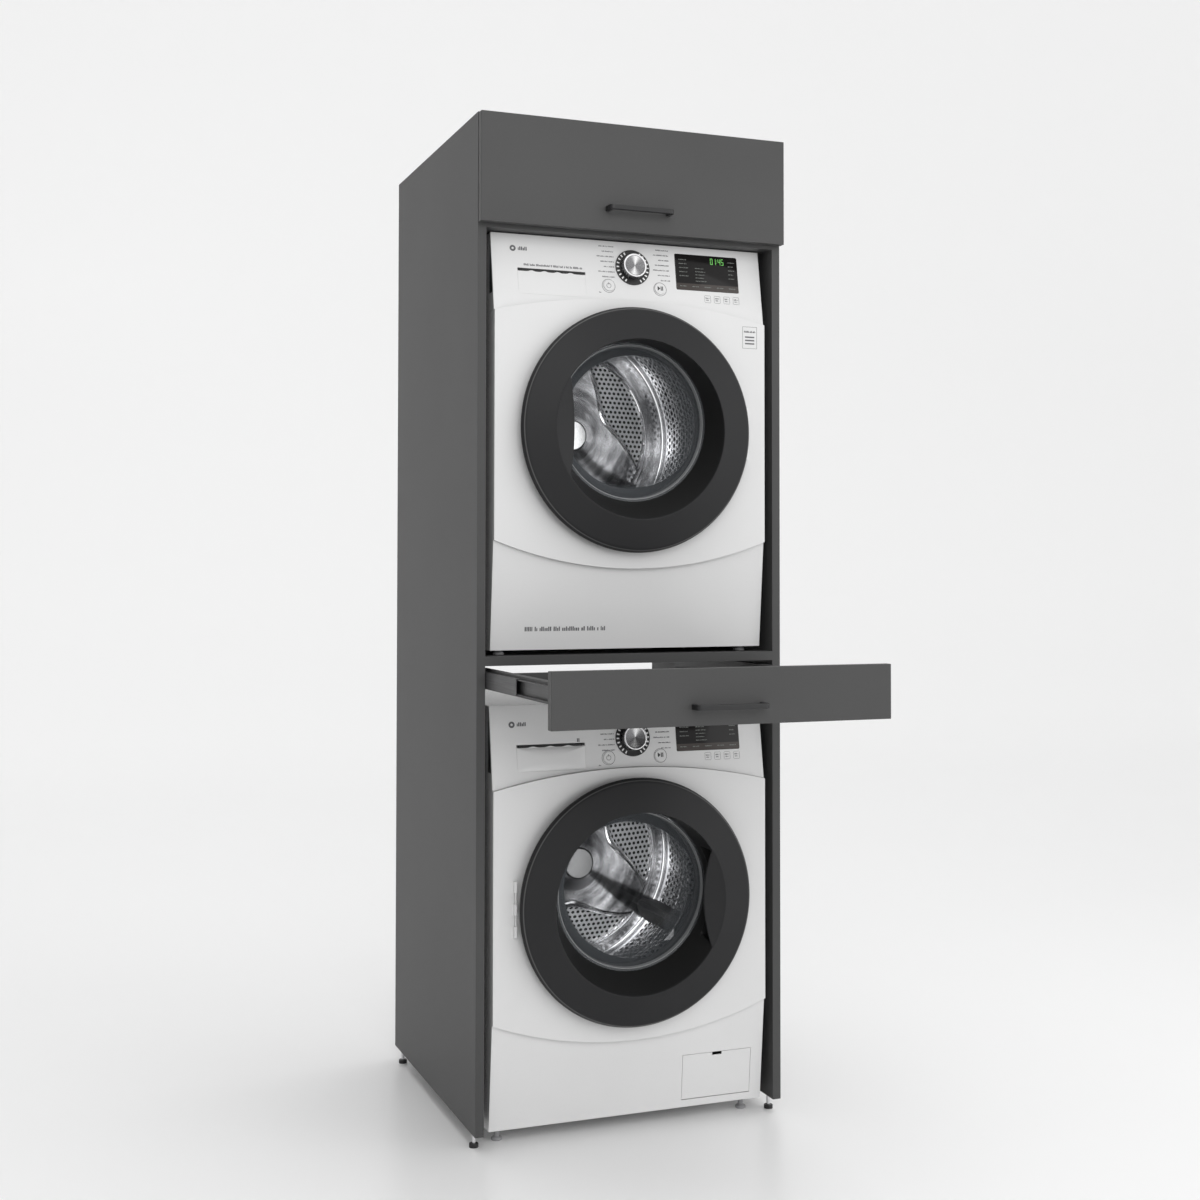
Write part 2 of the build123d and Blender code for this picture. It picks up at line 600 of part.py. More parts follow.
    # pocket for the fingers, and the lip that covers part of it
    far = 300 * grip
    ca = far * cos(radians(GRIP_ANGLE))
    sa = far * sin(radians(GRIP_ANGLE))
    wedge = Plane.XZ * make_face(Polyline((0, zc), (ca, zc - sa), (ca, zc + sa), close=True))
    wedge = extrude(wedge, amount=100, both=True)
    slope = (BAND_OUT - FACE_OUT) / (FACE_R - BAND_R)
    pocket = turned([
        (LIP_X - 10, -BAND_OUT + GRIP_WALL + 4),
        (BAND_R, -BAND_OUT + GRIP_WALL),
        (GRIP_R, -BAND_OUT + GRIP_WALL + (GRIP_R - BAND_R) * slope),
        (GRIP_R, -GRIP_OUT),
        (LIP_X - 10, -GRIP_OUT),
    ], zc)
    ring -= pocket & wedge
    dip = (BAND_OUT - LIP_OUT) / (BAND_R - LIP_X)
    lip = turned([
        (LIP_X - 8, -LIP_OUT + 8 * dip),
        (BAND_R + 2.5, -BAND_OUT + 1.0),
        (BAND_R + 2.5, -BAND_OUT + GRIP_WALL),
        (LIP_X - 8, -LIP_OUT + 8 * dip + GRIP_WALL),
    ], zc)
    ring += lip & rod_y(LIP_BOW, -BAND_OUT - 1, 0, grip * (LIP_X + LIP_BOW), zc)
    # hook
    ring += beside(grip, HOOK_X, HOOK_X + 7, -DOOR_AIR - 4, HOOK_REACH, zc - 11, zc + 11)
    ring += beside(grip, HOOK_X, HOOK_X + 12, HOOK_REACH - 5, HOOK_REACH, zc - 11, zc + 11)
    # seat for the glass
    seat = SIGHT_R + SEAT
    ring -= turned([(SIGHT_R - 1, SIGHT_Y), (seat, SIGHT_Y), (seat, PLUG_BACK - 4),
                    (SIGHT_R - 1, PLUG_BACK - 4)], window_z)
    glass = turned([
        (0, BOWL_BACK - GLASS_T),
        (BOWL_R - 12, BOWL_BACK - GLASS_T),
        (BOWL_R + 10, SIGHT_Y + GLASS_T + 9),
        (SIGHT_R - 6, SIGHT_Y),
        (seat, SIGHT_Y),
        (seat, PLUG_BACK - 4),
        (SIGHT_R - 2, PLUG_BACK - 4),
        (SIGHT_R - 2, PLUG_BACK),
        (BOWL_R + 10 + GLASS_T, SIGHT_Y + GLASS_T + 18),
        (BOWL_R - 6, BOWL_BACK),
        (0, BOWL_BACK),
    ], window_z)
    keep(kind + "_door_glass", glass)

    # hinge opposite the grip: three knuckles on the casing side, two on the door, one pin
    hx = -grip * HINGE_X
    step = KNUCKLE_L + HINGE_GAP
    fixed = []
    for i in (-2, 0, 2):
        za = zc + i * step - KNUCKLE_L / 2
        k = rod_z(KNUCKLE_R, za, za + KNUCKLE_L, hx, HINGE_Y)
        k += beside(-grip, HINGE_X - KNUCKLE_R + 1, HINGE_X + KNUCKLE_R, HINGE_Y, 0, za, za + KNUCKLE_L)
        fixed.append(k - rod_z(HINGE_PIN_R, za - 1, za + KNUCKLE_L + 1, hx, HINGE_Y))
    HINGES.extend(fixed)
    HINGES.append(rod_z(HINGE_PIN_R, zc - 2 * step - KNUCKLE_L / 2, zc + 2 * step + KNUCKLE_L / 2, hx, HINGE_Y))
    for i in (-1, 1):
        za = zc + i * step - KNUCKLE_L / 2
        arm = rod_z(KNUCKLE_R, za, za + KNUCKLE_L, hx, HINGE_Y)
        arm += beside(-grip, HINGE_X - 18, HINGE_X, HINGE_Y - KNUCKLE_R + 0.4, HINGE_Y + 3.0, za, za + KNUCKLE_L)
        arm -= rod_z(HINGE_PIN_R + PIN_AIR, za - 1, za + KNUCKLE_L + 1, hx, HINGE_Y)
        ring += arm
    # keep the ring clear of the fixed knuckles
    for i in (-2, 0, 2):
        za = zc + i * step - KNUCKLE_L / 2 - 0.4
        ring -= rod_z(KNUCKLE_R + 0.5, za, za + KNUCKLE_L + 0.8, hx, HINGE_Y)
    keep(kind + "_door_ring", ring)
    return front, zc


BEZELS = []
DISPLAYS = []
HINGES = []

# ----- washing machine -----------------------------------------------------------------------
front, wc = machine("washer", WASHER_Z, WASHER_DOOR, WASHER_KNOB_Z, WASHER_BUTTON_Z,
                    WASHER_DISPLAY_Z, DETERGENT_Z, DETERGENT_L, 1)
hz0 = WASHER_Z + HATCH_Z0
hz1 = WASHER_Z + HATCH_Z1
front -= slab(HATCH_X0 - HATCH_AIR, HATCH_X1 + HATCH_AIR, -10, 60, hz0 - 1.6, hz1 + HATCH_AIR)
hinge_z = hz0 + 1.8
hinge_y = kick_y(WASHER_Z, wc, hinge_z) + SKIN / 2
front -= rod_x(HATCH_PIN_R + PIN_AIR, HATCH_X0 - 4, HATCH_X1 + 4, hinge_y, hinge_z)
keep("washer_front_panel", front)
leaf = along_x(kick_points(WASHER_Z, wc, FRONT_BACK_Y, 0.0), half_w)
leaf -= along_x(kick_points(WASHER_Z, wc, FRONT_BACK_Y + 5, HATCH_T), half_w)
leaf &= slab(HATCH_X0, HATCH_X1, 0, 60, hz0, hz1)
notch_x = (HATCH_X0 + HATCH_X1) / 2
leaf -= slab(notch_x - 11, notch_x + 11, 0, 60, hz1 - 6, hz1 + 1)
leaf += rod_x(HATCH_PIN_R, HATCH_X0 - 3, HATCH_X1 + 3, hinge_y, hinge_z)
keep("washer_filter_hatch", leaf)

fz = WASHER_Z + FILTER_Z
pump = slab(FILTER_X - 38, FILTER_X + 38, 70, 170, WASHER_Z + 12, fz + 36)
pump -= rod_y(FILTER_R + 0.4, 60, 150, FILTER_X, fz)
keep("washer_pump", pump)
filt = rod_y(FILTER_R, 60, 148, FILTER_X, fz) + slab(FILTER_X - 5, FILTER_X + 5, 50, 61, fz - 22, fz + 22)
keep("washer_pump_filter", filt)

wa = wc + DRUM_UP
gasket = turned([(PORT_R + 0.4, SKIN), (PORT_R + 12, SKIN), (PORT_R + 12, SKIN + 3), (PORT_R + 3.4, SKIN + 3),
                 (PORT_R + 3.4, 34), (180, 34), (180, 77), (192, 77), (192, TUB_Y0), (176, TUB_Y0),
                 (176, 31), (PORT_R + 0.4, 31)], wa)
keep("washer_gasket", gasket)

tub = rod_y(TUB_R, TUB_Y0, TUB_Y1, 0, wa) - rod_y(TUB_R - TUB_T, TUB_Y0 + 4, TUB_Y1 - 4, 0, wa)
tub -= rod_y(174, TUB_Y0 - 1, TUB_Y0 + 10, 0, wa)
tub += rod_y(42, TUB_Y1 - 4, TUB_Y1 + 13, 0, wa)
tub -= rod_y(SHAFT_R + PIN_AIR, TUB_Y1 - 10, TUB_Y1 + 20, 0, wa)
keep("washer_tub", tub)


def drum_shell(r, y0, y1, mouth, shaft_end, z):
    """Drum of thin sheet: front wall with a mouth, side wall, and a back that bows forward
    to its hub, with the shaft behind."""
    t = DRUM_T
    shell = turned([
        (mouth, y0), (r, y0), (r, y1), (DOME_R, y1), (HUB_R, y1 - DOME_IN), (0, y1 - DOME_IN),
        (0, y1 - DOME_IN - t), (HUB_R + 0.5, y1 - DOME_IN - t), (DOME_R + 0.5, y1 - t), (r - t, y1 - t),
        (r - t, y0 + t), (mouth, y0 + t)], z)
    return shell + rod_y(SHAFT_R, y1 - DOME_IN - t / 2, shaft_end, 0, z)


drum = drum_shell(W_DRUM_R, W_DRUM_Y0, W_DRUM_Y1, MOUTH_R, TUB_Y1 + 28, wa)
keep("washer_drum", drum)


def lifter(r_wall, y0, y1, angle, z):
    """Ridge inside a drum, wide at the wall and rounded towards the axis."""
    base = -(r_wall - 0.6)
    tip = base + LIFTER_H
    face = Plane.XZ * make_face(Polyline(
        (-LIFTER_W / 2, base + 2.5), (LIFTER_W / 2, base + 2.5), (LIFTER_W * 0.28, base + LIFTER_H * 0.6),
        (LIFTER_W * 0.12, tip), (-LIFTER_W * 0.12, tip), (-LIFTER_W * 0.28, base + LIFTER_H * 0.6), close=True))
    body = Pos(0, y1, 0) * extrude(face, amount=y1 - y0)
    body = body + slab(-LIFTER_W / 2, LIFTER_W / 2, y0, y1, base - 3, base + 3)
    body &= rod_y(r_wall - 0.15, y0 - 1, y1 + 1, 0, 0)
    body -= turned([(0, y1 - DOME_IN - 0.4), (HUB_R + 0.5, y1 - DOME_IN - 0.4), (DOME_R + 1.7, y1),
                    (DOME_R + 1.7, y1 + 5), (0, y1 + 5)], 0)
    return Pos(0, 0, z) * Rot(0, angle, 0) * body


keep("washer_lifters", [
    lifter(W_DRUM_R - DRUM_T, W_DRUM_Y0 + 12, W_DRUM_Y1 - DRUM_T, LIFTER_TURN + a, wa)
    for a in (0, 120, 240)])

rotor = rod_y(140, TUB_Y1 + 18, TUB_Y1 + 22, 0, wa)
rotor += rod_y(140, TUB_Y1 + 4, TUB_Y1 + 19, 0, wa) - rod_y(133, TUB_Y1 + 3, TUB_Y1 + 18, 0, wa)
rotor += rod_y(32, TUB_Y1 + 14, TUB_Y1 + 26, 0, wa)
rotor -= rod_y(SHAFT_R, TUB_Y1, TUB_Y1 + 40, 0, wa)
keep("washer_motor_rotor", rotor)

dampers = []
for x in (-150.0, 150.0):
    reach = sqrt(TUB_R ** 2 - 150.0 ** 2)
    strut = rod_z(14, WASHER_Z + 12, wa - reach + 30, x, 260)
    dampers.append(strut - rod_y(TUB_R, 0, 600, 0, wa))
keep("washer_dampers", dampers)

# ----- tumble dryer --------------------------------------------------------------------------
front, dc = machine("dryer", DRYER_Z, DRYER_DOOR, DRYER_KNOB_Z, DRYER_BUTTON_Z,
                    DRYER_DISPLAY_Z, TANK_Z, TANK_L, -1)
da = dc + DRUM_UP
keep("dryer_front_panel", front)

bulkhead = turned([(PORT_R + 0.4, SKIN), (PORT_R + 12, SKIN), (PORT_R + 12, SKIN + 3), (PORT_R + 3.4, SKIN + 3),
                   (PORT_R + 3.4, 34), (180, 34), (172, 52), (D_DRUM_R + 8, 52), (D_DRUM_R + 8, 56), (168, 56),
                   (176, 31), (PORT_R + 0.4, 31)], da)
keep("dryer_bulkhead", bulkhead)

drum = drum_shell(D_DRUM_R, D_DRUM_Y0, D_DRUM_Y1, MOUTH_R + 40, D_DRUM_Y1 + 40, da)
keep("dryer_drum", drum)
keep("dryer_lifters", [
    lifter(D_DRUM_R - DRUM_T, D_DRUM_Y0 + 12, D_DRUM_Y1 - DRUM_T, LIFTER_TURN + a, da)
    for a in (0, 120, 240)])

support = slab(-half_w + SHEET, half_w - SHEET, D_DRUM_Y1 + 14, D_DRUM_Y1 + 20, da - 60, da + 60)
support += rod_y(36, D_DRUM_Y1 + 8, D_DRUM_Y1 + 30, 0, da)
support -= rod_y(SHAFT_R + PIN_AIR, D_DRUM_Y1, D_DRUM_Y1 + 50, 0, da)
keep("dryer_rear_support", support)

pump_z = DRYER_Z + 12
keep("dryer_heat_pump", [
    slab(-285, 40, 140, 470, pump_z, pump_z + 88),
    rod_z(74, pump_z, pump_z + 86, 170, 400),
])

# ----- feet of both machines, shared groups ------------------------------------------------
feet = []
for z_low, z_top, r in ((0.0, WASHER_Z, 20.0), (SHELF_TOP, DRYER_Z, 19.0)):
    for x in (-half_w + 28, half_w - 28):
        for y in (FRONT_BACK_Y + 26, MACH_D - 60):
            pad = min(9.0, (z_top - z_low) * 0.6)
            foot = rod_z(r, z_low, z_low + pad, x, y)
            foot += rod_z(8.0, z_low + pad - 1, z_top, x, y)
            feet.append(foot)
keep("washer_feet", feet[:4])
keep("dryer_feet", feet[4:])
keep("knob_bezels", BEZELS)
keep("display_windows", DISPLAYS)
keep("door_hinges", HINGES)

# ===== export, with the origin at the bottom centre of the whole ==============================
handle_y = drawer_y - HANDLE_PROUD
SHIFT = -(handle_y + CAB_D) / 2
total = 0
for name, shape in NODES.items():
    moved = Pos(0, SHIFT, 0) * shape
    export_step(moved, "parts/" + name + ".step")
    total += 1
print(total, "nodes, shift", round(SHIFT, 3))
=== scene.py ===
# %% [markdown]
# # A washer dryer stack
# A tall dark cabinet holds a front-loading washing machine on the floor, a pull-out laundry
# drawer above it, a tumble dryer on a shelf and a closed compartment behind a flap.
# The measured parts come from a CAD model. This lesson dresses them: it gives every part a
# finish, and it swaps the parts that need softer or finer shapes for computed surfaces.

import math

import bpy
import numpy as np
from mathutils import Matrix, Vector


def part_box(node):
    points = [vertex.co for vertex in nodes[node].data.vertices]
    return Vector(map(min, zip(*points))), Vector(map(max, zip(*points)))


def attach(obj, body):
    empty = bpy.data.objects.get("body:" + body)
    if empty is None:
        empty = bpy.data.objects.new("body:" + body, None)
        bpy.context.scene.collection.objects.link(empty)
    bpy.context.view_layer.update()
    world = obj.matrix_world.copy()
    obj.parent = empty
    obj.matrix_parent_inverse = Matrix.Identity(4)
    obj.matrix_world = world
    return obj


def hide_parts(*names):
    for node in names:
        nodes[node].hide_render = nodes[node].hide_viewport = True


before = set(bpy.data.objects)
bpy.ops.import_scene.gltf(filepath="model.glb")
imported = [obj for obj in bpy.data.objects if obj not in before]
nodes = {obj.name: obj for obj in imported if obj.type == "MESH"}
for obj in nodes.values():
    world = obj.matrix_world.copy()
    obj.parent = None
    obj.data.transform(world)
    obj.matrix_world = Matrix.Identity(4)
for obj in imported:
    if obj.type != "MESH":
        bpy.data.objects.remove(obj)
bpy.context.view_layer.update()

# %% [markdown]
# ## Where things are
# The cabinet's front edges give the plane from which every depth is counted. Each machine's
# door ring gives the height of its door's middle, and its fascia gives its top. Everything
# that is built below hangs on these few numbers, so it follows the CAD if that changes.

# %% Datum lines
MM = 0.001
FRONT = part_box("side_panel_left")[0].y
TOP_LEAN = 33 * MM      # set-back of a machine's front at its very top
CREASE_LEAN = 6 * MM    # set-back at the ends of the upper crease
CREASE_UP = 236 * MM    # those ends above the door's middle


class Machine:
    """The datum lines of one machine: door ring's middle, drum axis, the side (+1 or -1) on
    which the door is gripped, top, and the leaning fascia plane. Knob, window and small
    drawer are given as drops below the top, in mm."""

    def __init__(self, kind, grip, knob_drop, display_drop, bin_drop):
        ring_low, ring_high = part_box(kind + "_door_ring")
        glass_low, glass_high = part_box(kind + "_door_glass")
        low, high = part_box(kind + "_fascia")
        self.kind = kind
        self.grip = grip
        self.middle = (ring_low.z + ring_high.z) / 2
        self.axis = (glass_low.z + glass_high.z) / 2
        self.top = high.z
        rise = self.top - self.middle - CREASE_UP
        self.lean = math.atan2(TOP_LEAN - CREASE_LEAN, rise)
        self.display_drop = display_drop
        self.knob_z = self.top - knob_drop * MM
        self.display_z = self.top - display_drop * MM
        self.bin_z = self.top - bin_drop * MM

    def face_y(self, z):
        """Y of the fascia's face at height z: a straight lean between crease and top."""
        return FRONT + CREASE_LEAN + (z - self.middle - CREASE_UP) * math.tan(self.lean)

    def on_face(self, x, z, local):
        """Turns points (right, up the slope, outwards) about (x, z) on the fascia into space."""
        c, s = math.cos(self.lean), math.sin(self.lean)
        local = np.asarray(local, float)
        out = np.empty_like(local)
        out[..., 0] = x + local[..., 0]
        out[..., 1] = self.face_y(z) + local[..., 1] * s - local[..., 2] * c
        out[..., 2] = z + local[..., 1] * c + local[..., 2] * s
        return out


WASHER = Machine("washer", 1, 73.7, 65.7, 132.2)
DRYER = Machine("dryer", -1, 54.1, 55.1, 124.1)
for m in (WASHER, DRYER):
    print(m.kind, "middle", round(m.middle, 4), "lean", round(math.degrees(m.lean), 2))

# %% [markdown]
# ## Shader sums written as Python
# A material's pattern is arithmetic on sockets: distances, waves and masks. Wiring dozens of
# Math nodes by hand hides the formula, so one small class wraps a socket and lets ordinary
# operators add the nodes. `Finish` is one material, and its `add` puts in any other node.

# %% Wires and finishes
class Wire:
    """A socket that takes part in Python arithmetic."""

    def __init__(self, finish, socket):
        self.finish = finish
        self.socket = socket

    def __add__(self, b):
        return self.finish.math("ADD", self, b)

    def __sub__(self, b):
        return self.finish.math("SUBTRACT", self, b)

    def __rsub__(self, a):
        return self.finish.math("SUBTRACT", a, self)

    def __mul__(self, b):
        return self.finish.math("MULTIPLY", self, b)

    def __truediv__(self, b):
        return self.finish.math("DIVIDE", self, b)

    __radd__ = __add__
    __rmul__ = __mul__


class Finish:
    """One material: a Principled shader, constants set on it, and patterns fed into it."""

    def __init__(self, name, colour, rough, **fixed):
        self.material = bpy.data.materials.new(name)
        self.material.use_nodes = True
        self.tree = self.material.node_tree
        self.tree.nodes.clear()
        self.end = self.tree.nodes.new("ShaderNodeOutputMaterial")
        self.shader = self.tree.nodes.new("ShaderNodeBsdfPrincipled")
        self.tree.links.new(self.shader.outputs[0], self.end.inputs[0])
        self.feed("Base Color", colour)
        self.feed("Roughness", rough)
        for key, value in fixed.items():
            self.feed(key.replace("_", " "), value)

    def feed(self, name, value):
        """A number or colour goes on the shader's socket, a Wire is linked to it."""
        socket = self.shader.inputs[name]
        if isinstance(value, Wire):
            self.tree.links.new(value.socket, socket)
        elif isinstance(value, (tuple, list)):
            socket.default_value = tuple(value) + (1.0,) * (len(socket.default_value) - len(value))
        else:
            socket.default_value = value

    def add(self, kind, settings=None, inputs=None, out=0):
        """Adds a node: first its settings, then values or wires for its sockets."""
        node = self.tree.nodes.new("ShaderNode" + kind)
        for key, value in (settings or {}).items():
            setattr(node, key, value)
        for key, value in (inputs or {}).items():
            socket = node.inputs[key]
            if isinstance(value, Wire):
                self.tree.links.new(value.socket, socket)
            elif isinstance(value, (tuple, list)) and len(value) < len(socket.default_value):
                socket.default_value = (*value, 1.0)
            else:
                socket.default_value = value
        return Wire(self, node.outputs[out])

    def math(self, operation, *values):
        return self.add("Math", {"operation": operation}, dict(enumerate(values)))

    def split(self, wire):
        """The x, y and z of a vector wire."""
        outputs = self.add("SeparateXYZ", None, {0: wire}).socket.node.outputs
        return [Wire(self, output) for output in outputs]

    def place(self):
        """Object coordinates, in metres."""
        return self.add("TexCoord", None, None, "Object")

    def uv(self):
        return self.add("TexCoord", None, None, "UV")

    def noise(self, scale, detail=3.0, where=None, **more):
        inputs = {"Vector": where or self.place(), "Scale": scale, "Detail": detail}
        inputs.update(more)
        return self.add("TexNoise", None, inputs, "Fac")

    def between(self, value, low, high, a=0.0, b=1.0):
        """Straight ramp: a at low, b at high, held outside."""
        inputs = {"Value": value, "From Min": low, "From Max": high, "To Min": a, "To Max": b}
        return self.add("MapRange", {"clamp": True}, inputs)

    def within(self, value, a, b, c, d):
        """1 from b to c, falling to 0 at a and at d, all four in mm."""
        rise = self.between(value, a * MM, b * MM)
        return rise * self.between(value, c * MM, d * MM, 1.0, 0.0)

    def blend(self, mask, a, b):
        """Colour a where the mask is 0, b where it is 1. The Mix node's colour sockets are
        numbers 6 and 7, and its colour result is number 2."""
        return self.add("Mix", {"data_type": "RGBA"}, {0: mask, 6: a, 7: b}, 2)

    def see_through(self, share, tint):
        """Mixes in a Transparent shader; share is how much of the solid shader shows."""
        clear = self.add("BsdfTransparent", None, {0: tint})
        solid = Wire(self, self.shader.outputs[0])
        mix = self.add("MixShader", None, {0: share, 1: clear, 2: solid})
        self.tree.links.new(mix.socket, self.end.inputs[0])

    def bump(self, height, distance, strength=1.0):
        inputs = {"Height": height, "Distance": distance, "Strength": strength}
        self.feed("Normal", self.add("Bump", None, inputs, "Normal"))


def dress(finish, *names):
    """Gives a finish to CAD nodes."""
    for name in names:
        slots = nodes[name].data.materials
        slots.clear()
        slots.append(finish.material)


print("shader helpers ready")

# %% [markdown]
# ## Dark cabinet board
# The cabinet is made of coated chipboard in one dark grey. Such a coating is not flat black
# paint: it is a matt film with a fine pressed grain that breaks up the highlights. A noise at
# two scales gives the pressed grain and the slight cloudiness of the film.

# %% Board finish
def board_finish():
    f = Finish("board_dark_grey", (0.06, 0.06, 0.06), 0.5, Specular_IOR_Level=0.35)
    grain = f.noise(900.0, 4.0, Roughness=0.6)
    cloud = f.noise(3.0, 2.0)
    shade = f.between(cloud, 0.3, 0.7, 0.056, 0.063)
    speck = f.between(grain, 0.35, 0.7, -0.004, 0.004)
    total = shade + speck
    f.feed("Base Color", f.add("CombineColor", None, {0: total, 1: total, 2: total}))
    f.feed("Roughness", f.between(grain, 0.3, 0.7, 0.44, 0.56))
    f.bump(grain, 0.00012, 0.5)
    return f


BOARDS = ("side_panel_left", "side_panel_right", "top_panel", "compartment_floor",
          "compartment_back", "dryer_shelf", "rear_rails", "flap_door", "drawer_front",
          "drawer_sides", "drawer_bottom", "drawer_back")
dress(board_finish(), *BOARDS)
print("board on", len(BOARDS), "nodes")

# %% [markdown]
# ## Bar handles and other small black parts
# The handles are powder-coated steel: nearly black, with the tiny orange-peel skin that baked
# powder leaves. The feet and other small parts are moulded plastic, a little softer in shine.

# %% Black finishes
def powder_finish():
    f = Finish("powder_black", (0.012, 0.012, 0.013), 0.42)
    peel = f.noise(1400.0, 2.0)
    f.feed("Roughness", f.between(peel, 0.3, 0.7, 0.36, 0.5))
    f.bump(peel, 0.00008, 0.6)
    return f


def moulded_finish(name, colour, rough, scale=1100.0):
    """Moulded plastic: one colour, with the fine spark-eroded grain of the tool."""
    f = Finish(name, colour, rough)
    grain = f.noise(scale, 3.0)
    cloud = f.noise(9.0, 2.0)
    f.feed("Roughness", f.between(grain, 0.3, 0.7, rough - 0.05, rough + 0.07))
    dark = tuple(c * 0.95 for c in colour)
    f.feed("Base Color", f.blend(f.between(cloud, 0.35, 0.65), dark, colour))
    f.bump(grain, 0.00006, 0.4)
    return f


powder = powder_finish()
black_plastic = moulded_finish("plastic_black", (0.014, 0.014, 0.015), 0.45)
grey_plastic = moulded_finish("plastic_grey", (0.3, 0.3, 0.31), 0.5)
pale_plastic = moulded_finish("plastic_pale", (0.55, 0.55, 0.56), 0.5)
rubber = moulded_finish("rubber_grey", (0.16, 0.16, 0.165), 0.6, 500.0)
dress(powder, "flap_handle", "drawer_handle")
dress(black_plastic, "cabinet_foot_pads", "washer_feet", "washer_lifters", "dryer_lifters")
dress(pale_plastic, "dryer_feet")
dress(grey_plastic, "washer_tub", "washer_pump", "washer_pump_filter", "dryer_bulkhead",
      "dryer_heat_pump", "washer_dampers")
dress(rubber, "washer_gasket")
print("black and grey parts dressed")

# %% [markdown]
# ## White fronts and enamelled steel
# The machines' fronts are white moulded plastic with a soft gloss, and their casings are
# white enamelled sheet. Both are almost one colour. What makes them look real is a slow
# waviness in the reflection, which a low, wide bump gives. Inside the fascia the plastic is
# in the dark, so behind the face it is painted near black as shade, to read as the grip slot.

# %% White finishes
def white_finish(name, colour, rough, machine=None):
    f = Finish(name, colour, rough, Coat_Weight=0.25, Coat_Roughness=0.12)
    x, y, z = f.split(f.place())
    wave = f.noise(5.0, 2.0)
    peel = f.noise(700.0, 2.0)
    deeper = tuple(c * 0.975 for c in colour)
    base = f.blend(f.between(wave, 0.35, 0.65), deeper, colour)
    if machine:
        face = (z - (machine.middle + CREASE_UP)) * math.tan(machine.lean) + (FRONT + CREASE_LEAN)
        depth = y - face
        # painted shade: plastic more than 5 mm behind the face, left of the small drawer's right
        # end and above its foot, is coloured near black
        slot_shade = f.between(depth, 4.5 * MM, 7 * MM)
        slot_shade = slot_shade * f.between(x, -104 * MM, -98 * MM, 1.0, 0.0)
        slot_shade = slot_shade * f.between(z, machine.bin_z - 2 * MM, machine.bin_z)
        base = f.blend(slot_shade, base, (0.015, 0.015, 0.015))
    f.feed("Base Color", base)
    f.feed("Roughness", f.between(peel, 0.3, 0.7, rough - 0.03, rough + 0.04))
    f.bump(wave * 0.6 + peel * 0.02, 0.002, 0.25)
    return f


front_white = white_finish("front_white", (0.7, 0.7, 0.7), 0.3)
enamel = white_finish("enamel_white", (0.78, 0.78, 0.78), 0.26)
fascia_w = white_finish("fascia_white_lower", (0.7, 0.7, 0.7), 0.3, WASHER)
fascia_d = white_finish("fascia_white_upper", (0.7, 0.7, 0.7), 0.3, DRYER)
dress(front_white, "washer_front_panel", "dryer_front_panel", "washer_filter_hatch",
      "washer_detergent_drawer", "dryer_water_tank", "door_hinges", "washer_power_button",
      "washer_start_button", "dryer_power_button", "dryer_start_button")
dress(fascia_w, "washer_fascia")
dress(fascia_d, "dryer_fascia")
dress(enamel, "washer_casing", "washer_top_cover", "dryer_casing", "dryer_top_cover")
print("white parts dressed")

# %% [markdown]
# ## Metals
# Chrome on the cabinet's foot stems, zinc-plated steel on the flap's hinges, and dark drawn
# steel on the drawer's runners. Drawing leaves long streaks: a noise whose scale is large
# across the runner and small along it. The drums have a finish of their own further down.

# %% Metal finishes
def plated_finish(name, colour, rough):
    f = Finish(name, colour, rough, Metallic=1.0)
    mottle = f.noise(260.0, 4.0)
    f.feed("Roughness", f.between(mottle, 0.3, 0.7, rough - 0.05, rough + 0.1))
    dull = tuple(c * 0.9 for c in colour)
    f.feed("Base Color", f.blend(f.between(mottle, 0.4, 0.6), dull, colour))
    f.bump(mottle, 0.00005, 0.4)
    return f


def runner_finish():
    f = Finish("runner_dark_steel", (0.05, 0.05, 0.051), 0.5)
    stretched = f.add("Mapping", None, {"Vector": f.place(), "Scale": (900.0, 12.0, 900.0)})
    streak = f.noise(1.0, 3.0, stretched)
    f.feed("Roughness", f.between(streak, 0.3, 0.7, 0.38, 0.52))
    f.feed("Base Color", f.blend(streak, (0.044, 0.044, 0.045), (0.056, 0.056, 0.057)))
    f.bump(streak, 0.00004, 0.4)
    return f


chrome = plated_finish("chrome_stem", (0.72, 0.72, 0.73), 0.12)
zinc = plated_finish("zinc_plate", (0.55, 0.56, 0.57), 0.34)
dress(chrome, "cabinet_foot_stems")
dress(zinc, "flap_hinge_leaves", "flap_hinge_door_leaves", "dryer_rear_support",
      "washer_motor_rotor")
dress(runner_finish(), "runner_cabinet_rails", "runner_middle_rails", "runner_drawer_rails")
print("metal parts dressed")

# %% [markdown]
# ## Turned surfaces
# Rings, bowls, knobs and drums are all profiles turned about an axis. One function does them
# all: it takes the profile as arrays of radius and depth, and an array of angles, and works
# out the whole grid at once. A profile that runs to the axis ends in a tiny flat cap there, so
# the shell stays closed.

# %% Lathe and mesh helpers
SHARP = math.radians(38)    # edges that turn more than this stay crisp
POLE = 0.3                  # mm: radius of the tiny cap that closes a turned shell on its axis


def rounded(points, radius, steps=5):
    """Closed path with its corners rounded: each corner becomes a short quadratic arc that
    starts and ends at most `radius` from the corner along its two sides."""
    p = np.asarray(points, float)
    radius = np.broadcast_to(np.asarray(radius, float), len(p))
    before, after = np.roll(p, 1, 0) - p, np.roll(p, -1, 0) - p
    lb, la = np.linalg.norm(before, axis=1), np.linalg.norm(after, axis=1)
    cut = np.minimum(radius, 0.45 * np.minimum(lb, la))[:, None]
    start = p + before / lb[:, None] * cut
    stop = p + after / la[:, None] * cut
    t = np.linspace(0, 1, steps + 1)[None, :, None]
    arc = (1 - t) ** 2 * start[:, None] + 2 * t * (1 - t) * p[:, None] + t**2 * stop[:, None]
    return arc.reshape(-1, p.shape[1])


